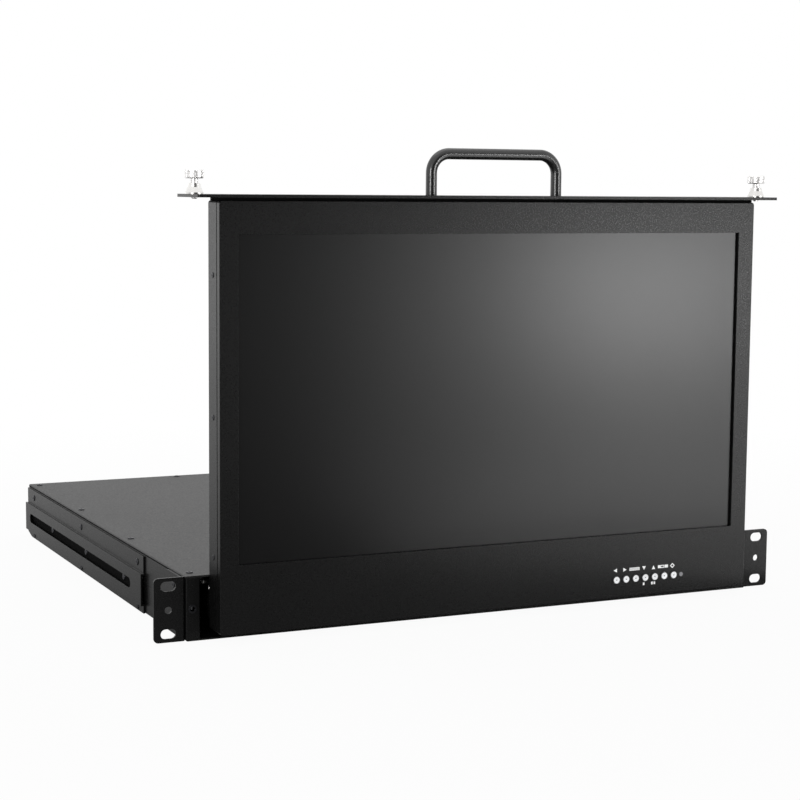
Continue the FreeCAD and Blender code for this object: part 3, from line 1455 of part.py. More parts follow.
def check():
    for thing in doc.Objects:
        if "Invalid" in thing.State or "Error" in thing.State:
            raise RuntimeError("%s: %s" % (thing.Name, thing.State))
    for label, thing in subparts.items():
        if thing.Shape.isNull() or not thing.Shape.isValid() or not thing.Shape.Solids:
            raise RuntimeError("%s has no valid solid" % label)


def write():
    os.makedirs("parts", exist_ok=True)
    for label, thing in subparts.items():
        thing.Shape.exportStep("parts/%s.step" % label)
    print("%d sub-parts written" % len(subparts))


build()
check()
write()
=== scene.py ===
"""Looks for the rack monitor drawer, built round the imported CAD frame.

Metres, in the frame of the part: +X to the user's right, +Y into the rack, +Z up.
"""
import json
import math

import bmesh
import bpy
from mathutils import Matrix, Vector

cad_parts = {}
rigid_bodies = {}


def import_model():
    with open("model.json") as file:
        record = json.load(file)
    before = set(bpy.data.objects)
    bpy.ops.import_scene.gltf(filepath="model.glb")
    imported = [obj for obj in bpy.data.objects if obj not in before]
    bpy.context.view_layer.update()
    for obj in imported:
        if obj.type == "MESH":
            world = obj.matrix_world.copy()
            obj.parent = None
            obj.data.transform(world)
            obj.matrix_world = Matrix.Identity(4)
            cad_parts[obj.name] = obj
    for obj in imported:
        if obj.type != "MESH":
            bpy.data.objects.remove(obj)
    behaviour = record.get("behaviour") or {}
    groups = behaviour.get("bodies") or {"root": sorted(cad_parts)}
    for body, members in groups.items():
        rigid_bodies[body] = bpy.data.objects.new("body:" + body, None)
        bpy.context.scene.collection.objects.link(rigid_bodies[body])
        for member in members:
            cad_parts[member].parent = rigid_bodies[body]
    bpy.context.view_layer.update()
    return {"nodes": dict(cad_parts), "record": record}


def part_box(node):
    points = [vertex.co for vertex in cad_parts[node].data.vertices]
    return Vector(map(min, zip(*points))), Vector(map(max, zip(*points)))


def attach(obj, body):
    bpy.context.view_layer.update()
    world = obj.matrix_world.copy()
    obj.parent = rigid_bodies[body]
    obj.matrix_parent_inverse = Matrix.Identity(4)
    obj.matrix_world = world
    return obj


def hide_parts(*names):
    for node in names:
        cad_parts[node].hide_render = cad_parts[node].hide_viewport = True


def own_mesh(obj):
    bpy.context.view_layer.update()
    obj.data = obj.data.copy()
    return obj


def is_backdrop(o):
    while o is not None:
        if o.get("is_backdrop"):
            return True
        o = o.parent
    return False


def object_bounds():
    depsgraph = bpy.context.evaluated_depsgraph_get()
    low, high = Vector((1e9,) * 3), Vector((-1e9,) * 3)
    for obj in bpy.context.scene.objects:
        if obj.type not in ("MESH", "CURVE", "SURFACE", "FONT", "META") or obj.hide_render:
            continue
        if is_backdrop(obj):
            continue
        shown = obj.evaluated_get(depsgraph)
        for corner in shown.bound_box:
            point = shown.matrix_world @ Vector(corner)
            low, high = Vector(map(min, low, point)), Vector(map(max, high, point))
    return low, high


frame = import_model()
nodes = frame["nodes"]
MM = 0.001
SHEET_EDGE, SMALL_EDGE = 0.4 * MM, 0.2 * MM    # radii that soften edges in the shading


# ---------------------------------------------------------------------------------------
# Material helpers
# ---------------------------------------------------------------------------------------
class Shader:
    """A node material with a Principled shader and short ways to feed it."""

    def __init__(self, name, color, rough, metallic=0.0, specular=0.5):
        self.material = bpy.data.materials.new(name)
        self.material.use_nodes = True
        self.tree = self.material.node_tree
        self.shader = self.tree.nodes["Principled BSDF"]
        self.put("Base Color", (*color, 1.0))
        self.put("Roughness", rough)
        self.put("Metallic", metallic)
        self.put("Specular IOR Level", specular)
        self.place = self.node("ShaderNodeTexCoord").outputs["Object"]

    def put(self, socket, value):
        self.shader.inputs[socket].default_value = value

    def node(self, kind, **values):
        node = self.tree.nodes.new(kind)
        for key, value in values.items():
            if hasattr(node, key):
                setattr(node, key, value)
            else:
                node.inputs[key.replace("_", " ")].default_value = value
        return node

    def link(self, a, b):
        self.tree.links.new(a, b)

    def stretched(self, scale):
        """Object coordinates scaled differently along each axis."""
        mapping = self.node("ShaderNodeMapping")
        mapping.inputs["Scale"].default_value = scale
        self.link(self.place, mapping.inputs["Vector"])
        return mapping.outputs["Vector"]

    def noise(self, scale, detail=2.0, rough=0.5, where=None):
        noise = self.node("ShaderNodeTexNoise", Scale=scale, Detail=detail, Roughness=rough)
        self.link(where or self.place, noise.inputs["Vector"])
        return noise.outputs["Fac"]

    def ranged(self, value, low, high, from_low=0.3, from_high=0.7):
        """A value mapped to low..high."""
        node = self.node("ShaderNodeMapRange")
        for key, number in (("From Min", from_low), ("From Max", from_high),
                            ("To Min", low), ("To Max", high)):
            node.inputs[key].default_value = number
        self.link(value, node.inputs["Value"])
        return node.outputs["Result"]

    def ramp(self, value, stops):
        node = self.node("ShaderNodeValToRGB")
        band = node.color_ramp
        while len(band.elements) < len(stops):
            band.elements.new(0.5)
        for element, (at, color) in zip(band.elements, stops):
            element.position = at
            element.color = (*color, 1.0)
        self.link(value, node.inputs["Fac"])
        return node.outputs["Color"]

    def bump(self, height, distance, strength=1.0, edge=0.0):
        """Bump from a height, on top of edges rounded by a small radius."""
        bump = self.node("ShaderNodeBump", Strength=strength, Distance=distance)
        self.link(height, bump.inputs["Height"])
        if edge:
            self.link(self.rounded(edge), bump.inputs["Normal"])
        self.link(bump.outputs["Normal"], self.shader.inputs["Normal"])

    def rounded(self, radius):
        bevel = self.node("ShaderNodeBevel", samples=4)
        bevel.inputs["Radius"].default_value = radius
        return bevel.outputs["Normal"]

    def math(self, operation, a, b):
        node = self.node("ShaderNodeMath", operation=operation)
        self.link(a, node.inputs[0])
        self.link(b, node.inputs[1])
        return node.outputs["Value"]

    def feed(self, socket, value):
        self.link(value, self.shader.inputs[socket])


def powder_coat(name, tone, rough, grain=1100.0, height=0.000006, specular=0.2):
    """Black textured powder coat: small rounded grains, slight changes of tone and gloss."""
    coat = Shader(name, (tone, tone, tone), rough, specular=specular)
    grains = coat.noise(grain, detail=3.0, rough=0.6)
    clouds = coat.noise(9.0, detail=4.0)
    low, high = (0.82 * tone,) * 3, (1.2 * tone,) * 3
    coat.feed("Base Color", coat.ramp(clouds, ((0.35, low), (0.65, high))))
    coat.feed("Roughness", coat.ranged(grains, rough - 0.06, rough + 0.08))
    coat.bump(grains, height, edge=SHEET_EDGE)
    return coat.material


def plated(name, color, rough, streak=(40.0, 40.0, 1200.0)):
    """Plated metal with fine marks from turning or drawing."""
    metal = Shader(name, color, rough, metallic=1.0)
    marks = metal.noise(1.0, detail=4.0, rough=0.7, where=metal.stretched(streak))
    patches = metal.noise(60.0, detail=3.0)
    low = tuple(0.86 * c for c in color)
    metal.feed("Base Color", metal.ramp(patches, ((0.3, low), (0.7, color))))
    metal.feed("Roughness", metal.ranged(marks, 0.75 * rough, 1.35 * rough))
    metal.bump(marks, 0.000015, edge=SMALL_EDGE)
    return metal.material


def moulded(name, color, rough, grain=700.0, height=0.00002, specular=0.5):
    """Moulded plastic with a fine sparked texture."""
    plastic = Shader(name, color, rough, specular=specular)
    grains = plastic.noise(grain, detail=2.0)
    patches = plastic.noise(30.0)
    low = tuple(0.9 * c for c in color)
    plastic.feed("Base Color", plastic.ramp(patches, ((0.3, low), (0.7, color))))
    plastic.feed("Roughness", plastic.ranged(grains, rough - 0.05, rough + 0.07))
    plastic.bump(grains, height, edge=SMALL_EDGE)
    return plastic.material


def screen_glass(name):
    """Anti-glare cover of a switched-off screen: nearly black, with a wide soft gloss."""
    glass = Shader(name, (0.002, 0.002, 0.002), 0.25, specular=0.3)
    haze = glass.noise(2500.0, detail=2.0)
    cloud = glass.noise(5.0, detail=3.0)
    glass.feed("Roughness", glass.ranged(cloud, 0.245, 0.255))
    glass.bump(haze, 0.000004)
    return glass.material


def solder_mask(name):
    """Green solder mask with paler traces and tinned pads."""
    mask = Shader(name, (0.01, 0.09, 0.04), 0.35)
    cells = mask.node("ShaderNodeTexBrick", Scale=160.0)
    mask.link(mask.place, cells.inputs["Vector"])
    for socket, color in (("Color1", (0.008, 0.085, 0.035)), ("Color2", (0.010, 0.11, 0.045)),
                          ("Mortar", (0.03, 0.20, 0.09))):
        cells.inputs[socket].default_value = (*color, 1.0)
    mask.feed("Base Color", cells.outputs["Color"])
    mask.bump(cells.outputs["Fac"], 0.00003, edge=SMALL_EDGE)
    return mask.material


BLACK = powder_coat("powder_coat", 0.0045, 0.29)
COVER = powder_coat("powder_coat_cover", 0.020, 0.46, grain=900.0, specular=0.3)
BAR = powder_coat("bar_coat", 0.006, 0.24, grain=1500.0, height=0.000004, specular=0.8)
ZINC = plated("zinc_plate", (0.52, 0.53, 0.55), 0.34)
NICKEL = plated("nickel_plate", (0.90, 0.89, 0.87), 0.24)
SATIN = plated("satin_nickel", (0.93, 0.92, 0.91), 0.40)
OXIDE = plated("black_oxide", (0.05, 0.05, 0.055), 0.36)
TIN = plated("tin_plate", (0.60, 0.60, 0.60), 0.28)
BARE = plated("module_case", (0.55, 0.56, 0.57), 0.38, streak=(900.0, 20.0, 20.0))
SCREEN = screen_glass("screen_cover")
BOARD = solder_mask("solder_mask")
SOCKET = moulded("socket_black", (0.02, 0.02, 0.021), 0.42)
KEY = moulded("key_silver", (0.86, 0.87, 0.88), 0.30, height=0.000008)
# Dark key body; it shows bare in the middle of each key face as a painted reflection
KEY_BODY = moulded("key_body", (0.035, 0.035, 0.036), 0.40, height=0.000008)
LED = moulded("led_lens", (0.20, 0.20, 0.21), 0.30, height=0.000004)
NYLON = moulded("glide_nylon", (0.78, 0.78, 0.74), 0.40)
# Matte black foam; the same black is also painted shade in the cover seams, behind the bracket
# slots and under the front plate
FOAM_AND_SHADE = moulded("foam_black", (0.006, 0.006, 0.006), 0.90, grain=1800.0, height=0.0001,
               specular=0.02)
INSERT = moulded("insert_blue", (0.02, 0.05, 0.26), 0.45)
INK = moulded("print_white", (0.90, 0.90, 0.90), 0.55, grain=1500.0, height=0.000004)

# Material of each of the CAD's slots
FINISH = {
    "powder_black": BLACK, "powder_black_cover": COVER, "zinc_steel": ZINC, "nickel": NICKEL,
    "black_screw": OXIDE, "screen": SCREEN, "module_metal": BARE, "board_green": BOARD,
    "connector_metal": TIN, "connector_black": SOCKET, "key_silver": KEY_BODY, "led_white": LED,
    "nylon_white": NYLON, "foam_black": FOAM_AND_SHADE, "handle_black": BAR,
}

CAD_SLOT = {part["node"]: part["material_slot"] for part in frame["record"]["subparts"]}


def finish_nodes():
    """The CAD's nodes in their materials, with a duller nickel on the knurled screws."""
    for node, slot_name in CAD_SLOT.items():
        knurled = node.startswith("thumb_screw")
        for slot in nodes[node].material_slots:
            slot.material = SATIN if knurled else FINISH[slot_name]


finish_nodes()


# ---------------------------------------------------------------------------------------
# Mesh helpers
# ---------------------------------------------------------------------------------------
ROUND_STEPS = 32


def ring(mesh, place, radius, height, steps=ROUND_STEPS):
    """Corners round the Z axis of a place, at a height along it."""
    return [mesh.verts.new(place @ Vector((radius * math.cos(math.tau * k / steps),
                                           radius * math.sin(math.tau * k / steps), height)))
            for k in range(steps)]


def walls(mesh, low, high):
    """Four-cornered faces between two closed rows of corners."""
    count = len(low)
    return [mesh.faces.new((low[k], low[(k + 1) % count], high[(k + 1) % count], high[k]))
            for k in range(count)]


def edges_round(loop):
    """The edges along a closed row of corners."""
    count = len(loop)
    found = []
    for k in range(count):
        near, far = loop[k], loop[(k + 1) % count]
        found += [edge for edge in near.link_edges if edge.other_vert(near) is far]
    return found


def slab(mesh, low, high, chamfer=0.0):
    """A block between two corners, with its edges broken by a chamfer."""
    made = bmesh.ops.create_cube(mesh, size=1.0)["verts"]
    size = Vector(high) - Vector(low)
    for corner in made:
        corner.co = Vector(low) + Vector([size[k] * (corner.co[k] + 0.5) for k in range(3)])
    if chamfer:
        edges = {edge for corner in made for edge in corner.link_edges}
        bmesh.ops.bevel(mesh, geom=list(edges), offset=chamfer, segments=2, profile=0.5,
                        affect="EDGES")


def turned(outline, quarter_turns):
    """An outline turned left by quarter turns."""
    for _ in range(quarter_turns):
        outline = tuple((-v, u) for u, v in outline)
    return outline


def piece(name, mesh, material, body):
    """A finished mesh as a piece that rides on a body."""
    data = bpy.data.meshes.new(name)
    mesh.to_mesh(data)
    mesh.free()
    data.materials.append(material)
    made = bpy.data.objects.new(name, data)
    bpy.context.scene.collection.objects.link(made)
    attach(made, body)
    return made


# ---------------------------------------------------------------------------------------
# Printed marks round the keys, and bright faces on the keys round dark middles of painted
# reflection
# ---------------------------------------------------------------------------------------
INK_FILM = 0.02 * MM
MARK_RISE = 6.8 * MM      # marks over the keys, from the middle of the row
MARK_DROP = 4.7 * MM      # small marks under two of the keys
MARK_SHIFT = -0.7 * MM    # all marks, from the middle of their key

# The flat front and the dimple of a key are as in the part
KEY_FLAT, KEY_DIMPLE, KEY_DIMPLE_DEPTH = 2.25 * MM, 1.3 * MM, 0.35 * MM
KEY_RIM = 0.2 * MM        # how far the bright face goes down the chamfer
KEY_PAINTED_DARK = 0.4 * MM        # radius of the dark middle, a painted reflection of the dark front
KEY_FILM = 0.02 * MM


def block(low_u, low_v, high_u, high_v):
    """The outline of an upright rectangle."""
    return ((low_u, low_v), (high_u, low_v), (high_u, high_v), (low_u, high_v))


def frame_of(outline, share):
    """The sides of an outline as four-cornered strips, with an opening of a given share."""
    inner = [(share * u, share * v) for u, v in outline]
    count = len(outline)
    return [(outline[i], outline[(i + 1) % count], inner[(i + 1) % count], inner[i])
            for i in range(count)]


def ink(name, outlines, x, z):
    """Ink film on the front of the bezel, from outlines in millimetres round (x, z)."""
    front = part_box("front_bezel")[0][1]
    mesh = bmesh.new()
    for outline in outlines:
        rear = [mesh.verts.new((x + MM * u, front + INK_FILM, z + MM * v))
                for u, v in outline]
        face = mesh.faces.new(rear)
        raised = bmesh.ops.extrude_face_region(mesh, geom=[face])["geom"]
        corners = [item for item in raised if isinstance(item, bmesh.types.BMVert)]
        bmesh.ops.translate(mesh, verts=corners, vec=(0, -2 * INK_FILM, 0))
    bmesh.ops.recalc_face_normals(mesh, faces=mesh.faces)
    return piece(name, mesh, INK, "display")


def key_middle(number):
    """The x and z of the middle of a key."""
    low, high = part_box("button_%d" % number)
    return (low[0] + high[0]) / 2, (low[2] + high[2]) / 2


def make_marks():
    """Arrows, a list, a picture and a diamond over the keys; tallies under two of them."""
    arrow = ((-1.5, -1.4), (1.5, -1.4), (0.0, 1.4))
    diamond = ((0.0, -1.9), (2.1, 0.0), (0.0, 1.9), (-2.1, 0.0))
    rows = [block(-4.3, v, 4.3, v + 0.6) for v in (-1.1, -0.3, 0.5)]
    picture = frame_of(block(-4.3, -1.1, 0.9, 1.1), 0.4) + [block(1.3, -1.1, 4.3, 1.1)]
    over = (("left", [turned(arrow, 1)]), ("right", [turned(arrow, 3)]), ("list", rows),
            ("down", [turned(arrow, 2)]), ("up", [arrow]), ("picture", picture),
            ("power", frame_of(diamond, 0.5)))
    for number, (name, outlines) in enumerate(over, 1):
        x, z = key_middle(number)
        ink("mark_" + name, outlines, x + MARK_SHIFT, z + MARK_RISE)
    tally = [block(-0.7, -1.0, 0.7, 1.0)]
    pair = [block(-1.7, -1.0, -0.3, 1.0), block(0.3, -1.0, 1.7, 1.0)]
    for number, outlines in ((4, tally), (5, pair)):
        x, z = key_middle(number)
        ink("tally_%d" % number, outlines, x + MARK_SHIFT, z - MARK_DROP)


def make_key_face(number):
    """Bright ring on the front of a key, down into its dimple, round a dark middle that is a
    painted reflection.
    """
    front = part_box("button_%d" % number)[0][1]
    x, z = key_middle(number)
    place = Matrix(((1, 0, 0, x), (0, 0, -1, front), (0, 1, 0, z), (0, 0, 0, 1)))
    sunk = -KEY_DIMPLE_DEPTH * (1 - KEY_PAINTED_DARK / KEY_DIMPLE)
    outer = ((KEY_PAINTED_DARK, sunk), (KEY_DIMPLE, 0.0), (KEY_FLAT, 0.0),
             (KEY_FLAT + KEY_RIM, -KEY_RIM))
    levels = [(across, up + KEY_FILM) for across, up in outer]
    levels += [(across, up - KEY_FILM) for across, up in reversed(outer)]
    mesh = bmesh.new()
    rings = [ring(mesh, place, across, up) for across, up in levels]
    for near, far in zip(rings, rings[1:] + rings[:1]):
        walls(mesh, near, far)
    bmesh.ops.recalc_face_normals(mesh, faces=mesh.faces)
    piece("key_face_%d" % number, mesh, KEY, "key_%d" % number)


make_marks()


# ---------------------------------------------------------------------------------------
# Screws with domed heads and cross recesses, in the place of the CAD's plain ones
# ---------------------------------------------------------------------------------------
M3_SHANK, M2_SHANK = 1.5 * MM, 1.0 * MM
# node: axis, way of the head (0 is away from the middle of the rack), head height, shank
SCREWS = {
    "cover_screws": (2, 1, 0.7 * MM, M3_SHANK),
    "side_screws": (0, 0, 0.7 * MM, M3_SHANK),
    "guide_rail_screws": (0, 0, 1.2 * MM, M3_SHANK),
    "hinge_arm_screws": (0, 0, 1.5 * MM, M3_SHANK),
    "rear_cover_screws": (0, 0, 0.4 * MM, M2_SHANK),
}


def islands(node):
    """Lowest and highest corner of each separate solid in a node."""
    mesh = bmesh.new()
    mesh.from_mesh(nodes[node].data)
    bmesh.ops.remove_doubles(mesh, verts=mesh.verts, dist=0.001 * MM)
    left = set(mesh.verts)
    boxes = []
    while left:
        reached = [left.pop()]
        for corner in reached:
            for edge in corner.link_edges:
                other = edge.other_vert(corner)
                if other in left:
                    left.remove(other)
                    reached.append(other)
        places = [corner.co for corner in reached]
        boxes.append((Vector([min(axis) for axis in zip(*places)]),
                      Vector([max(axis) for axis in zip(*places)])))
    mesh.free()
    return sorted(boxes, key=lambda box: tuple(box[0]))


def cross(mesh, place, reach, half, height):
    """The twelve corners of a cross, at a height over the head's seat."""
    corner = [(reach, -half), (reach, half), (half, half)]
    outline = []
    for turn in range(4):
        outline += turned(corner, turn)
    return [mesh.verts.new(place @ Vector((u, v, height))) for u, v in outline]


def screw(mesh, place, radius, head, shank, length):
    """A pan-head screw: local Z runs out of the seat, through the middle of the head."""
    profile = ((shank, -length), (shank, 0.0), (radius, 0.0), (radius, 0.45 * head),
               (0.95 * radius, 0.72 * head), (0.84 * radius, 0.92 * head), (0.70 * radius, head))
    rings = [ring(mesh, place, across, up) for across, up in profile]
    mesh.faces.new(reversed(rings[0]))
    for low, high in zip(rings, rings[1:]):
        walls(mesh, low, high)
    mouth = cross(mesh, place, 0.55 * radius, 0.13 * radius, head)
    foot = cross(mesh, place, 0.42 * radius, 0.09 * radius, 0.45 * head)
    walls(mesh, mouth, foot)
    mesh.faces.new(foot)
    top = edges_round(rings[-1]) + edges_round(mouth)
    bmesh.ops.triangle_fill(mesh, use_beauty=True, use_dissolve=False, edges=top)


def make_screws(node, axis, way, head, shank):
    """A dressed screw in the place of each separate solid of a node."""
    mesh = bmesh.new()
    for low, high in islands(node):
        middle = (low + high) / 2
        out = Vector((0, 0, 0))
        out[axis] = way or math.copysign(1, middle[axis])
        radius = (high[1] - low[1]) / 2
        reach = high[axis] - low[axis]
        tip = middle - out * reach / 2
        place = (Matrix.Translation(tip + out * (reach - head))
                 @ out.to_track_quat("Z", "Y").to_matrix().to_4x4())
        screw(mesh, place, radius, head, shank, reach - head)
    bmesh.ops.recalc_face_normals(mesh, faces=mesh.faces)
    slot = CAD_SLOT[node]
    body = nodes[node].parent.name.split(":")[-1]
    made = piece("dressed_" + node, mesh, FINISH[slot], body)
    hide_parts(node)


for name, sizes in SCREWS.items():
    make_screws(name, *sizes)


# ---------------------------------------------------------------------------------------
# Strips of painted shade, a gasket and connector faces
# ---------------------------------------------------------------------------------------
def make_slot_shade_strips():
    """Black strips of painted shade on the side walls, behind the long slots of the brackets."""
    thick, half, front, rear = 0.4 * MM, 5.5 * MM, 12 * MM, 6 * MM
    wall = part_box("chassis_tray")[1][0]
    low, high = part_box("guide_rail_screws")
    middle = (low[2] + high[2]) / 2
    for side, name in ((-1, "left"), (1, "right")):
        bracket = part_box("side_bracket_" + name)
        faces = sorted((side * wall, side * (wall + thick)))
        mesh = bmesh.new()
        # painted shade: a matte black strip darkens the wall seen through each slot
        slab(mesh, (faces[0], bracket[0][1] + front, middle - half),
             (faces[1], bracket[1][1] - rear, middle + half), 0.1 * MM)
        piece("slot_liner_" + name, mesh, FOAM_AND_SHADE, "chassis")


def make_cover_seam_shade():
    """Black strips of painted shadow in the seam between the cover and both side walls of the
    tray.
    """
    inner, outer, drop, stand = 0.1 * MM, 0.25 * MM, 0.65 * MM, 0.05 * MM
    low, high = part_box("top_cover")
    for side, name in ((-1, "left"), (1, "right")):
        edges = sorted((side * (high[0] - inner), side * (high[0] + outer)))
        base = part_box("chassis_tray")[1][2]
        mesh = bmesh.new()
        # painted shadow: a matte black strip draws the dark line along each seam
        slab(mesh, (edges[0], low[1], base - drop), (edges[1], high[1], base + stand), 0.1 * MM)
        piece("cover_seal_" + name, mesh, FOAM_AND_SHADE, "chassis")


def make_gasket_and_shade_line():
    """Foam spacer under the front plate, out to both ends of the display's housing; its matte
    black is also painted shade, the dark line under the plate.
    """
    low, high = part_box("plate_gasket")
    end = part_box("front_bezel")[1][0] - 0.25 * MM
    mesh = bmesh.new()
    # spacer and painted shade: the black strip also draws the dark line under the plate
    slab(mesh, (-end, low[1], low[2]), (end, high[1], high[2]), 0.15 * MM)
    made = piece("gasket_strip", mesh, FOAM_AND_SHADE, "display")
    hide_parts("plate_gasket")


SPRING_TURNS, SPRING_STEPS, SPRING_WIRE = 5, 28, 0.25 * MM
SPRING_CLOSED = 0.75    # turns that lie flat at each end


def make_spring(side):
    """Coil spring with closed ends, squeezed against the front plate by the thumb screw."""
    low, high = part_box("thumb_spring_" + side)
    middle = Vector(((low[0] + high[0]) / 2, (low[1] + high[1]) / 2, 0))
    radius = (high[0] - low[0]) / 2 - SPRING_WIRE
    foot, rise = low[2] + SPRING_WIRE, high[2] - low[2] - 2 * SPRING_WIRE
    mesh = bmesh.new()
    tube = []
    for k in range(SPRING_TURNS * SPRING_STEPS + 1):
        turns = k / SPRING_STEPS
        climb = (turns - SPRING_CLOSED) / (SPRING_TURNS - 2 * SPRING_CLOSED)
        climb = min(max(climb, 0.0), 1.0)
        out = Vector((math.cos(math.tau * turns), math.sin(math.tau * turns), 0))
        place = Matrix.Identity(4)
        place.col[0] = (*out, 0)
        place.col[1] = (0, 0, 1, 0)
        place.col[2] = (*out.cross(Vector((0, 0, 1))), 0)
        place.col[3] = (*(middle + radius * out + Vector((0, 0, foot + rise * climb))), 1)
        tube.append(ring(mesh, place, SPRING_WIRE, 0.0, 8))
    for near, far in zip(tube, tube[1:]):
        walls(mesh, near, far)
    mesh.faces.new(tube[0])
    mesh.faces.new(tube[-1])
    bmesh.ops.recalc_face_normals(mesh, faces=mesh.faces)
    made = piece("spring_" + side, mesh, NICKEL, "display")
    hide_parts("thumb_spring_" + side)
    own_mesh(made)


def pin_rows():
    """Places of the fifteen contacts of a video socket, from the middle of its face."""
    pitch, rise = 2.3, 2.0
    return [((column + shift) * pitch, row * rise)
            for row, shift in ((1, 0.25), (0, -0.25), (-1, 0.25)) for column in range(-2, 3)]


def make_video_insert():
    """Blue D-shaped insulator with fifteen contact holes, inside the socket's shell."""
    low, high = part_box("vga_connector")
    x, z = (low[0] + high[0]) / 2, (low[2] + high[2]) / 2
    face = high[1] - 1.0 * MM
    place = Matrix(((-1, 0, 0, x), (0, 0, 1, face), (0, 1, 0, z), (0, 0, 0, 1)))
    outline = ((-7.3, -3.3), (7.3, -3.3), (8.5, 3.3), (-8.5, 3.3))
    mesh = bmesh.new()
    front, back = [[mesh.verts.new(place @ Vector((MM * u, MM * v, MM * depth)))
                    for u, v in outline] for depth in (0.0, -3.3)]
    walls(mesh, back, front)
    mesh.faces.new(back)
    rims = edges_round(front)
    for u, v in pin_rows():
        hole = place @ Matrix.Translation((MM * u, MM * v, 0))
        mouth = ring(mesh, hole, 0.5 * MM, 0.0, 12)
        foot = ring(mesh, hole, 0.45 * MM, -1.2 * MM, 12)
        walls(mesh, mouth, foot)
        mesh.faces.new(foot)
        rims += edges_round(mouth)
    bmesh.ops.triangle_fill(mesh, use_beauty=True, use_dissolve=False, edges=rims)
    bmesh.ops.recalc_face_normals(mesh, faces=mesh.faces)
    piece("video_insert", mesh, INSERT, "chassis")


def make_jack_nuts():
    """Six-sided collars round the video socket's two posts."""
    low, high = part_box("vga_connector")
    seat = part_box("rear_panel")[1][1]
    z = (low[2] + high[2]) / 2
    mesh = bmesh.new()
    inset = 2.9 * MM
    for x in (low[0] + inset, high[0] - inset):
        place = Matrix(((-1, 0, 0, x), (0, 0, 1, seat), (0, 1, 0, z), (0, 0, 0, 1)))
        levels = ((2.15, 0.0), (2.8, 0.0), (2.8, 1.5), (2.6, 1.8), (2.15, 1.8))
        rings = [ring(mesh, place, MM * across, MM * up, 6) for across, up in levels]
        for near, far in zip(rings, rings[1:] + rings[:1]):
            walls(mesh, near, far)
    bmesh.ops.recalc_face_normals(mesh, faces=mesh.faces)
    piece("jack_nuts", mesh, NICKEL, "chassis")


def make_digital_tongue():
    """Thin contact tongue in the middle of the digital video socket."""
    low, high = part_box("hdmi_connector")
    middle = (Vector(low) + Vector(high)) / 2
    mesh = bmesh.new()
    reach, half, thick = 5.0 * MM, 5.2 * MM, 0.45 * MM
    face = high[1] - 0.8 * MM
    slab(mesh, (middle[0] - half, face - reach, middle[2] - thick),
         (middle[0] + half, face, middle[2] + thick), 0.1 * MM)
    piece("digital_tongue", mesh, SOCKET, "chassis")


make_slot_shade_strips()
make_cover_seam_shade()
make_gasket_and_shade_line()
make_spring("left")
make_spring("right")
make_video_insert()
make_jack_nuts()
make_digital_tongue()
for number in range(1, 8):
    make_key_face(number)


# ---------------------------------------------------------------------------------------
# Floor, lights and camera
# ---------------------------------------------------------------------------------------
FLOOR_WHITE = 0.95               # share of backdrop white right under the object
FLOOR_GLOSS = 0.75               # share of backdrop white or dark that gloss sees in it
FADE_NEAR, FADE_FAR = 0.35, 1.1  # distances over which the floor turns all white
FRONT, BEHIND = -0.3, 1.0        # places along Y where gloss sees dark and white in it


def make_floor():
    """Pale round floor that fades to the white of the backdrop.

    Gloss and glass see that white too, behind the object, and the plain paint in front of it.
    """
    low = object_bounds()[0][2]
    bpy.ops.mesh.primitive_circle_add(vertices=96, radius=14.0, fill_type="NGON",
                                      location=(0, 0, low))
    floor = bpy.context.object
    floor.name = "floor"
    paint = Shader("floor_paint", (0.62, 0.62, 0.62), 0.9, specular=0.1)
    speck = paint.noise(3.0, detail=2.0)
    paint.feed("Base Color", paint.ramp(speck, ((0.3, (0.61,) * 3), (0.7, (0.63,) * 3))))
    white = paint.node("ShaderNodeEmission")
    white.inputs["Color"].default_value = (1, 1, 1, 1)
    length = paint.node("ShaderNodeVectorMath", operation="LENGTH")
    paint.link(paint.place, length.inputs[0])
    fade = paint.ranged(length.outputs["Value"], FLOOR_WHITE, 1.0, FADE_NEAR, FADE_FAR)
    parts = paint.node("ShaderNodeSeparateXYZ")
    paint.link(paint.place, parts.inputs["Vector"])
    behind = paint.ranged(parts.outputs["Y"], 0.0, 1.0, FRONT, BEHIND)
    rays = paint.node("ShaderNodeLightPath")
    gloss = paint.math("MAXIMUM", rays.outputs["Is Glossy Ray"],
                       rays.outputs["Is Transmission Ray"])
    camera = rays.outputs["Is Camera Ray"]
    shine = paint.math("MAXIMUM", camera, paint.math("MULTIPLY", gloss, behind))
    paint.link(shine, white.inputs["Strength"])
    flat = paint.math("MAXIMUM", paint.math("MULTIPLY", fade, camera),
                      paint.ranged(gloss, 0.0, FLOOR_GLOSS, 0.0, 1.0))
    mix = paint.node("ShaderNodeMixShader")
    paint.link(flat, mix.inputs["Fac"])
    paint.link(paint.shader.outputs["BSDF"], mix.inputs[1])
    paint.link(white.outputs["Emission"], mix.inputs[2])
    paint.link(mix.outputs["Shader"], paint.tree.nodes["Material Output"].inputs["Surface"])
    floor.data.materials.append(paint.material)
    floor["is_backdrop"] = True


DARK_TURN, DARK_CORE, DARK_EDGE = 3.0, 14.0, 42.0   # degrees: middle, all dark, all white
# Strengths that plain paint and gloss meet, in the dark opening and round it
PAINT_AHEAD, PAINT_ROUND = 0.50, 0.75
GLOSS_AHEAD, GLOSS_ROUND = 0.02, 1.0


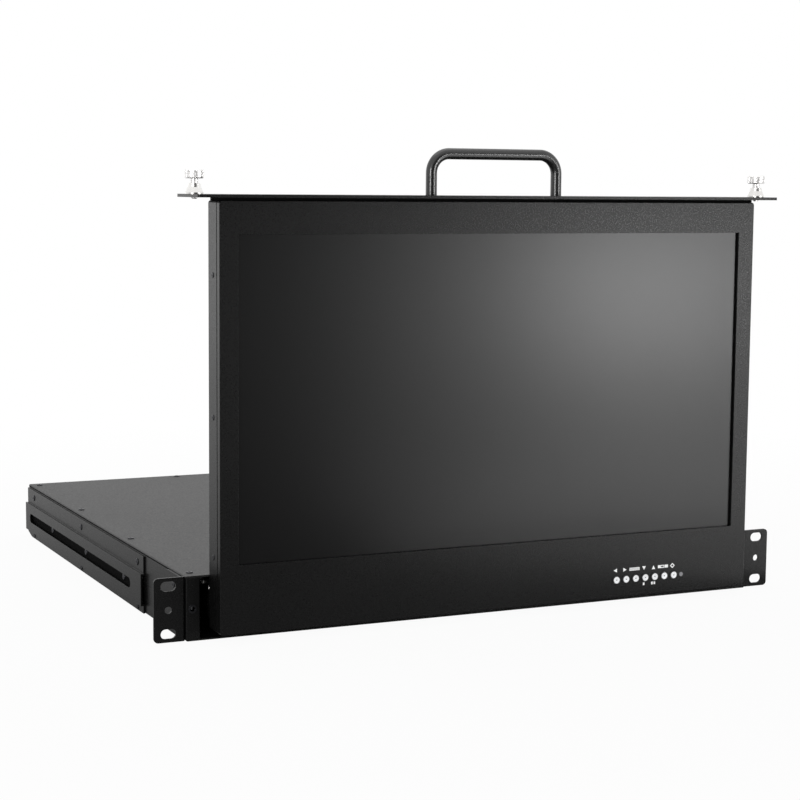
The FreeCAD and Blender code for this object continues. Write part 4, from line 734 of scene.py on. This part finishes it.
def make_world():
    """A white room with one dark opening, straight ahead of the screen.

    What the camera sees directly is white all round. Gloss and glass see the white room too,
    and the dark opening, which keeps the front of the object black.
    """
    world = bpy.data.worlds.new("studio")
    bpy.context.scene.world = world
    world.use_nodes = True
    tree = world.node_tree
    tree.nodes.clear()

    def node(kind, **values):
        made = tree.nodes.new(kind)
        for key, value in values.items():
            setattr(made, key, value)
        return made

    def maximum(a, b):
        made = node("ShaderNodeMath", operation="MAXIMUM")
        tree.links.new(a, made.inputs[0])
        tree.links.new(b, made.inputs[1])
        return made.outputs["Value"]

    def shade(low, high, amount):
        """A grey background between two strengths."""
        grey = node("ShaderNodeMapRange")
        grey.inputs["To Min"].default_value = low
        grey.inputs["To Max"].default_value = high
        tree.links.new(amount, grey.inputs["Value"])
        made = node("ShaderNodeBackground")
        made.inputs["Color"].default_value = (1, 1, 1, 1)
        tree.links.new(grey.outputs["Result"], made.inputs["Strength"])
        return made.outputs["Background"]

    def mixed(fac, a, b):
        made = node("ShaderNodeMixShader")
        tree.links.new(fac, made.inputs["Fac"])
        tree.links.new(a, made.inputs[1])
        tree.links.new(b, made.inputs[2])
        return made.outputs["Shader"]

    turn = math.radians(DARK_TURN)
    ahead = node("ShaderNodeVectorMath", operation="DOT_PRODUCT")
    ahead.inputs[1].default_value = (math.sin(turn), -math.cos(turn), 0.0)
    tree.links.new(node("ShaderNodeTexCoord").outputs["Generated"], ahead.inputs[0])
    outside = node("ShaderNodeMapRange", interpolation_type="SMOOTHSTEP")
    outside.inputs["From Min"].default_value = math.cos(math.radians(DARK_CORE))
    outside.inputs["From Max"].default_value = math.cos(math.radians(DARK_EDGE))
    tree.links.new(ahead.outputs["Value"], outside.inputs["Value"])
    amount = outside.outputs["Result"]
    rays = node("ShaderNodeLightPath")
    gloss = maximum(rays.outputs["Is Glossy Ray"], rays.outputs["Is Transmission Ray"])
    white = node("ShaderNodeBackground")
    white.inputs["Color"].default_value = (1, 1, 1, 1)
    white.inputs["Strength"].default_value = 1.0
    lit = mixed(gloss, shade(PAINT_AHEAD, PAINT_ROUND, amount),
                shade(GLOSS_AHEAD, GLOSS_ROUND, amount))
    seen = mixed(rays.outputs["Is Camera Ray"], lit, white.outputs["Background"])
    tree.links.new(seen, node("ShaderNodeOutputWorld").inputs["Surface"])


def area_light(name, place, target, size, power):
    """A rectangular lamp that faces a target and that the camera doesn't see."""
    light = bpy.data.lights.new(name, "AREA")
    light.shape = "RECTANGLE"
    light.size, light.size_y = size
    light.energy = power
    lamp = bpy.data.objects.new(name, light)
    lamp.location = place
    lamp.visible_camera = False
    aim = Vector(target) - Vector(place)
    lamp.rotation_euler = aim.to_track_quat("-Z", "Y").to_euler()
    bpy.context.scene.collection.objects.link(lamp)
    return lamp


BOX_AWAY = 2.2                          # from the middle of the part to a lamp in front
STRIP_LIFT, STRIP_SHIFT = 0.004, 0.1    # over the floor and to the right


def round_the_front(azimuth, distance, height):
    """A place in front of the display, turned to the right of straight ahead."""
    angle = math.radians(azimuth)
    return (distance * math.sin(angle), -distance * math.cos(angle), height)


def floor_strip(name, azimuth, near, far, width, power):
    """A lamp that lies on the floor and runs away from the front, facing up."""
    x, y, _ = round_the_front(azimuth, (near + far) / 2, 0.0)
    x += STRIP_SHIFT
    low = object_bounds()[0][2] + STRIP_LIFT
    lamp = area_light(name, (x, y, low), (x, y, 1.0), (width, far - near), power)
    lamp.rotation_euler = (math.pi, 0, math.radians(azimuth))


def make_lights():
    """Boxes in front, behind and above, and strips on the floor in front.

    The boxes to the right are seen in the screen as one soft glow, and the one to the left
    draws the bright line along the handle.
    """
    screen = (0.1, -0.02, 0.15)
    area_light("front_small", round_the_front(34, BOX_AWAY, 0.10), screen, (0.30, 0.22), 4.8)
    area_light("front_wide", round_the_front(32, BOX_AWAY, 0.14), screen, (0.80, 0.30), 1.8)
    area_light("right_tall", round_the_front(46, BOX_AWAY, 0.30), screen, (0.5, 0.7), 5.2)
    area_light("left_tall", round_the_front(-47, BOX_AWAY, 0.35), screen, (0.34, 0.9), 15.0)
    area_light("back_box", (-0.85, 1.9, 0.34), (-0.2, 0, 0.2), (0.7, 0.7), 0.85)
    area_light("top_box", (0.0, 0.4, 2.2), (0, 0.1, 0.1), (2.0, 2.0), 8.0)
    floor_strip("floor_middle", 34, 0.35, 2.05, 0.34, 2.9)
    floor_strip("floor_left", 27, 0.35, 2.05, 0.50, 2.9)
    floor_strip("floor_right", 42, 0.12, 1.20, 0.50, 2.3)


CAMERA_PLACE = (-0.6086, -1.1705, 0.2772)
CAMERA_TURN = (-24.91, 6.44, 0.47)      # azimuth, pitch and roll in degrees
LENS, SENSOR = 85.56, 36.0              # millimetres


def make_camera():
    """Camera to the left of and above the front."""
    azimuth, pitch, roll = (math.radians(angle) for angle in CAMERA_TURN)
    ahead = Vector((-math.sin(azimuth) * math.cos(pitch), math.cos(azimuth) * math.cos(pitch),
                    -math.sin(pitch)))
    right = Vector((math.cos(azimuth), math.sin(azimuth), 0.0))
    up = right.cross(ahead)
    turned_right = math.cos(roll) * right + math.sin(roll) * up
    turned_up = math.cos(roll) * up - math.sin(roll) * right
    data = bpy.data.cameras.new("camera")
    data.lens = LENS
    data.sensor_width = SENSOR
    camera = bpy.data.objects.new("camera", data)
    axes = Matrix((turned_right, turned_up, -ahead)).transposed().to_4x4()
    axes.translation = CAMERA_PLACE
    camera.matrix_world = axes
    bpy.context.scene.collection.objects.link(camera)
    bpy.context.scene.camera = camera


make_floor()
make_world()
make_lights()
make_camera()
bpy.context.scene.view_settings.view_transform = "Standard"
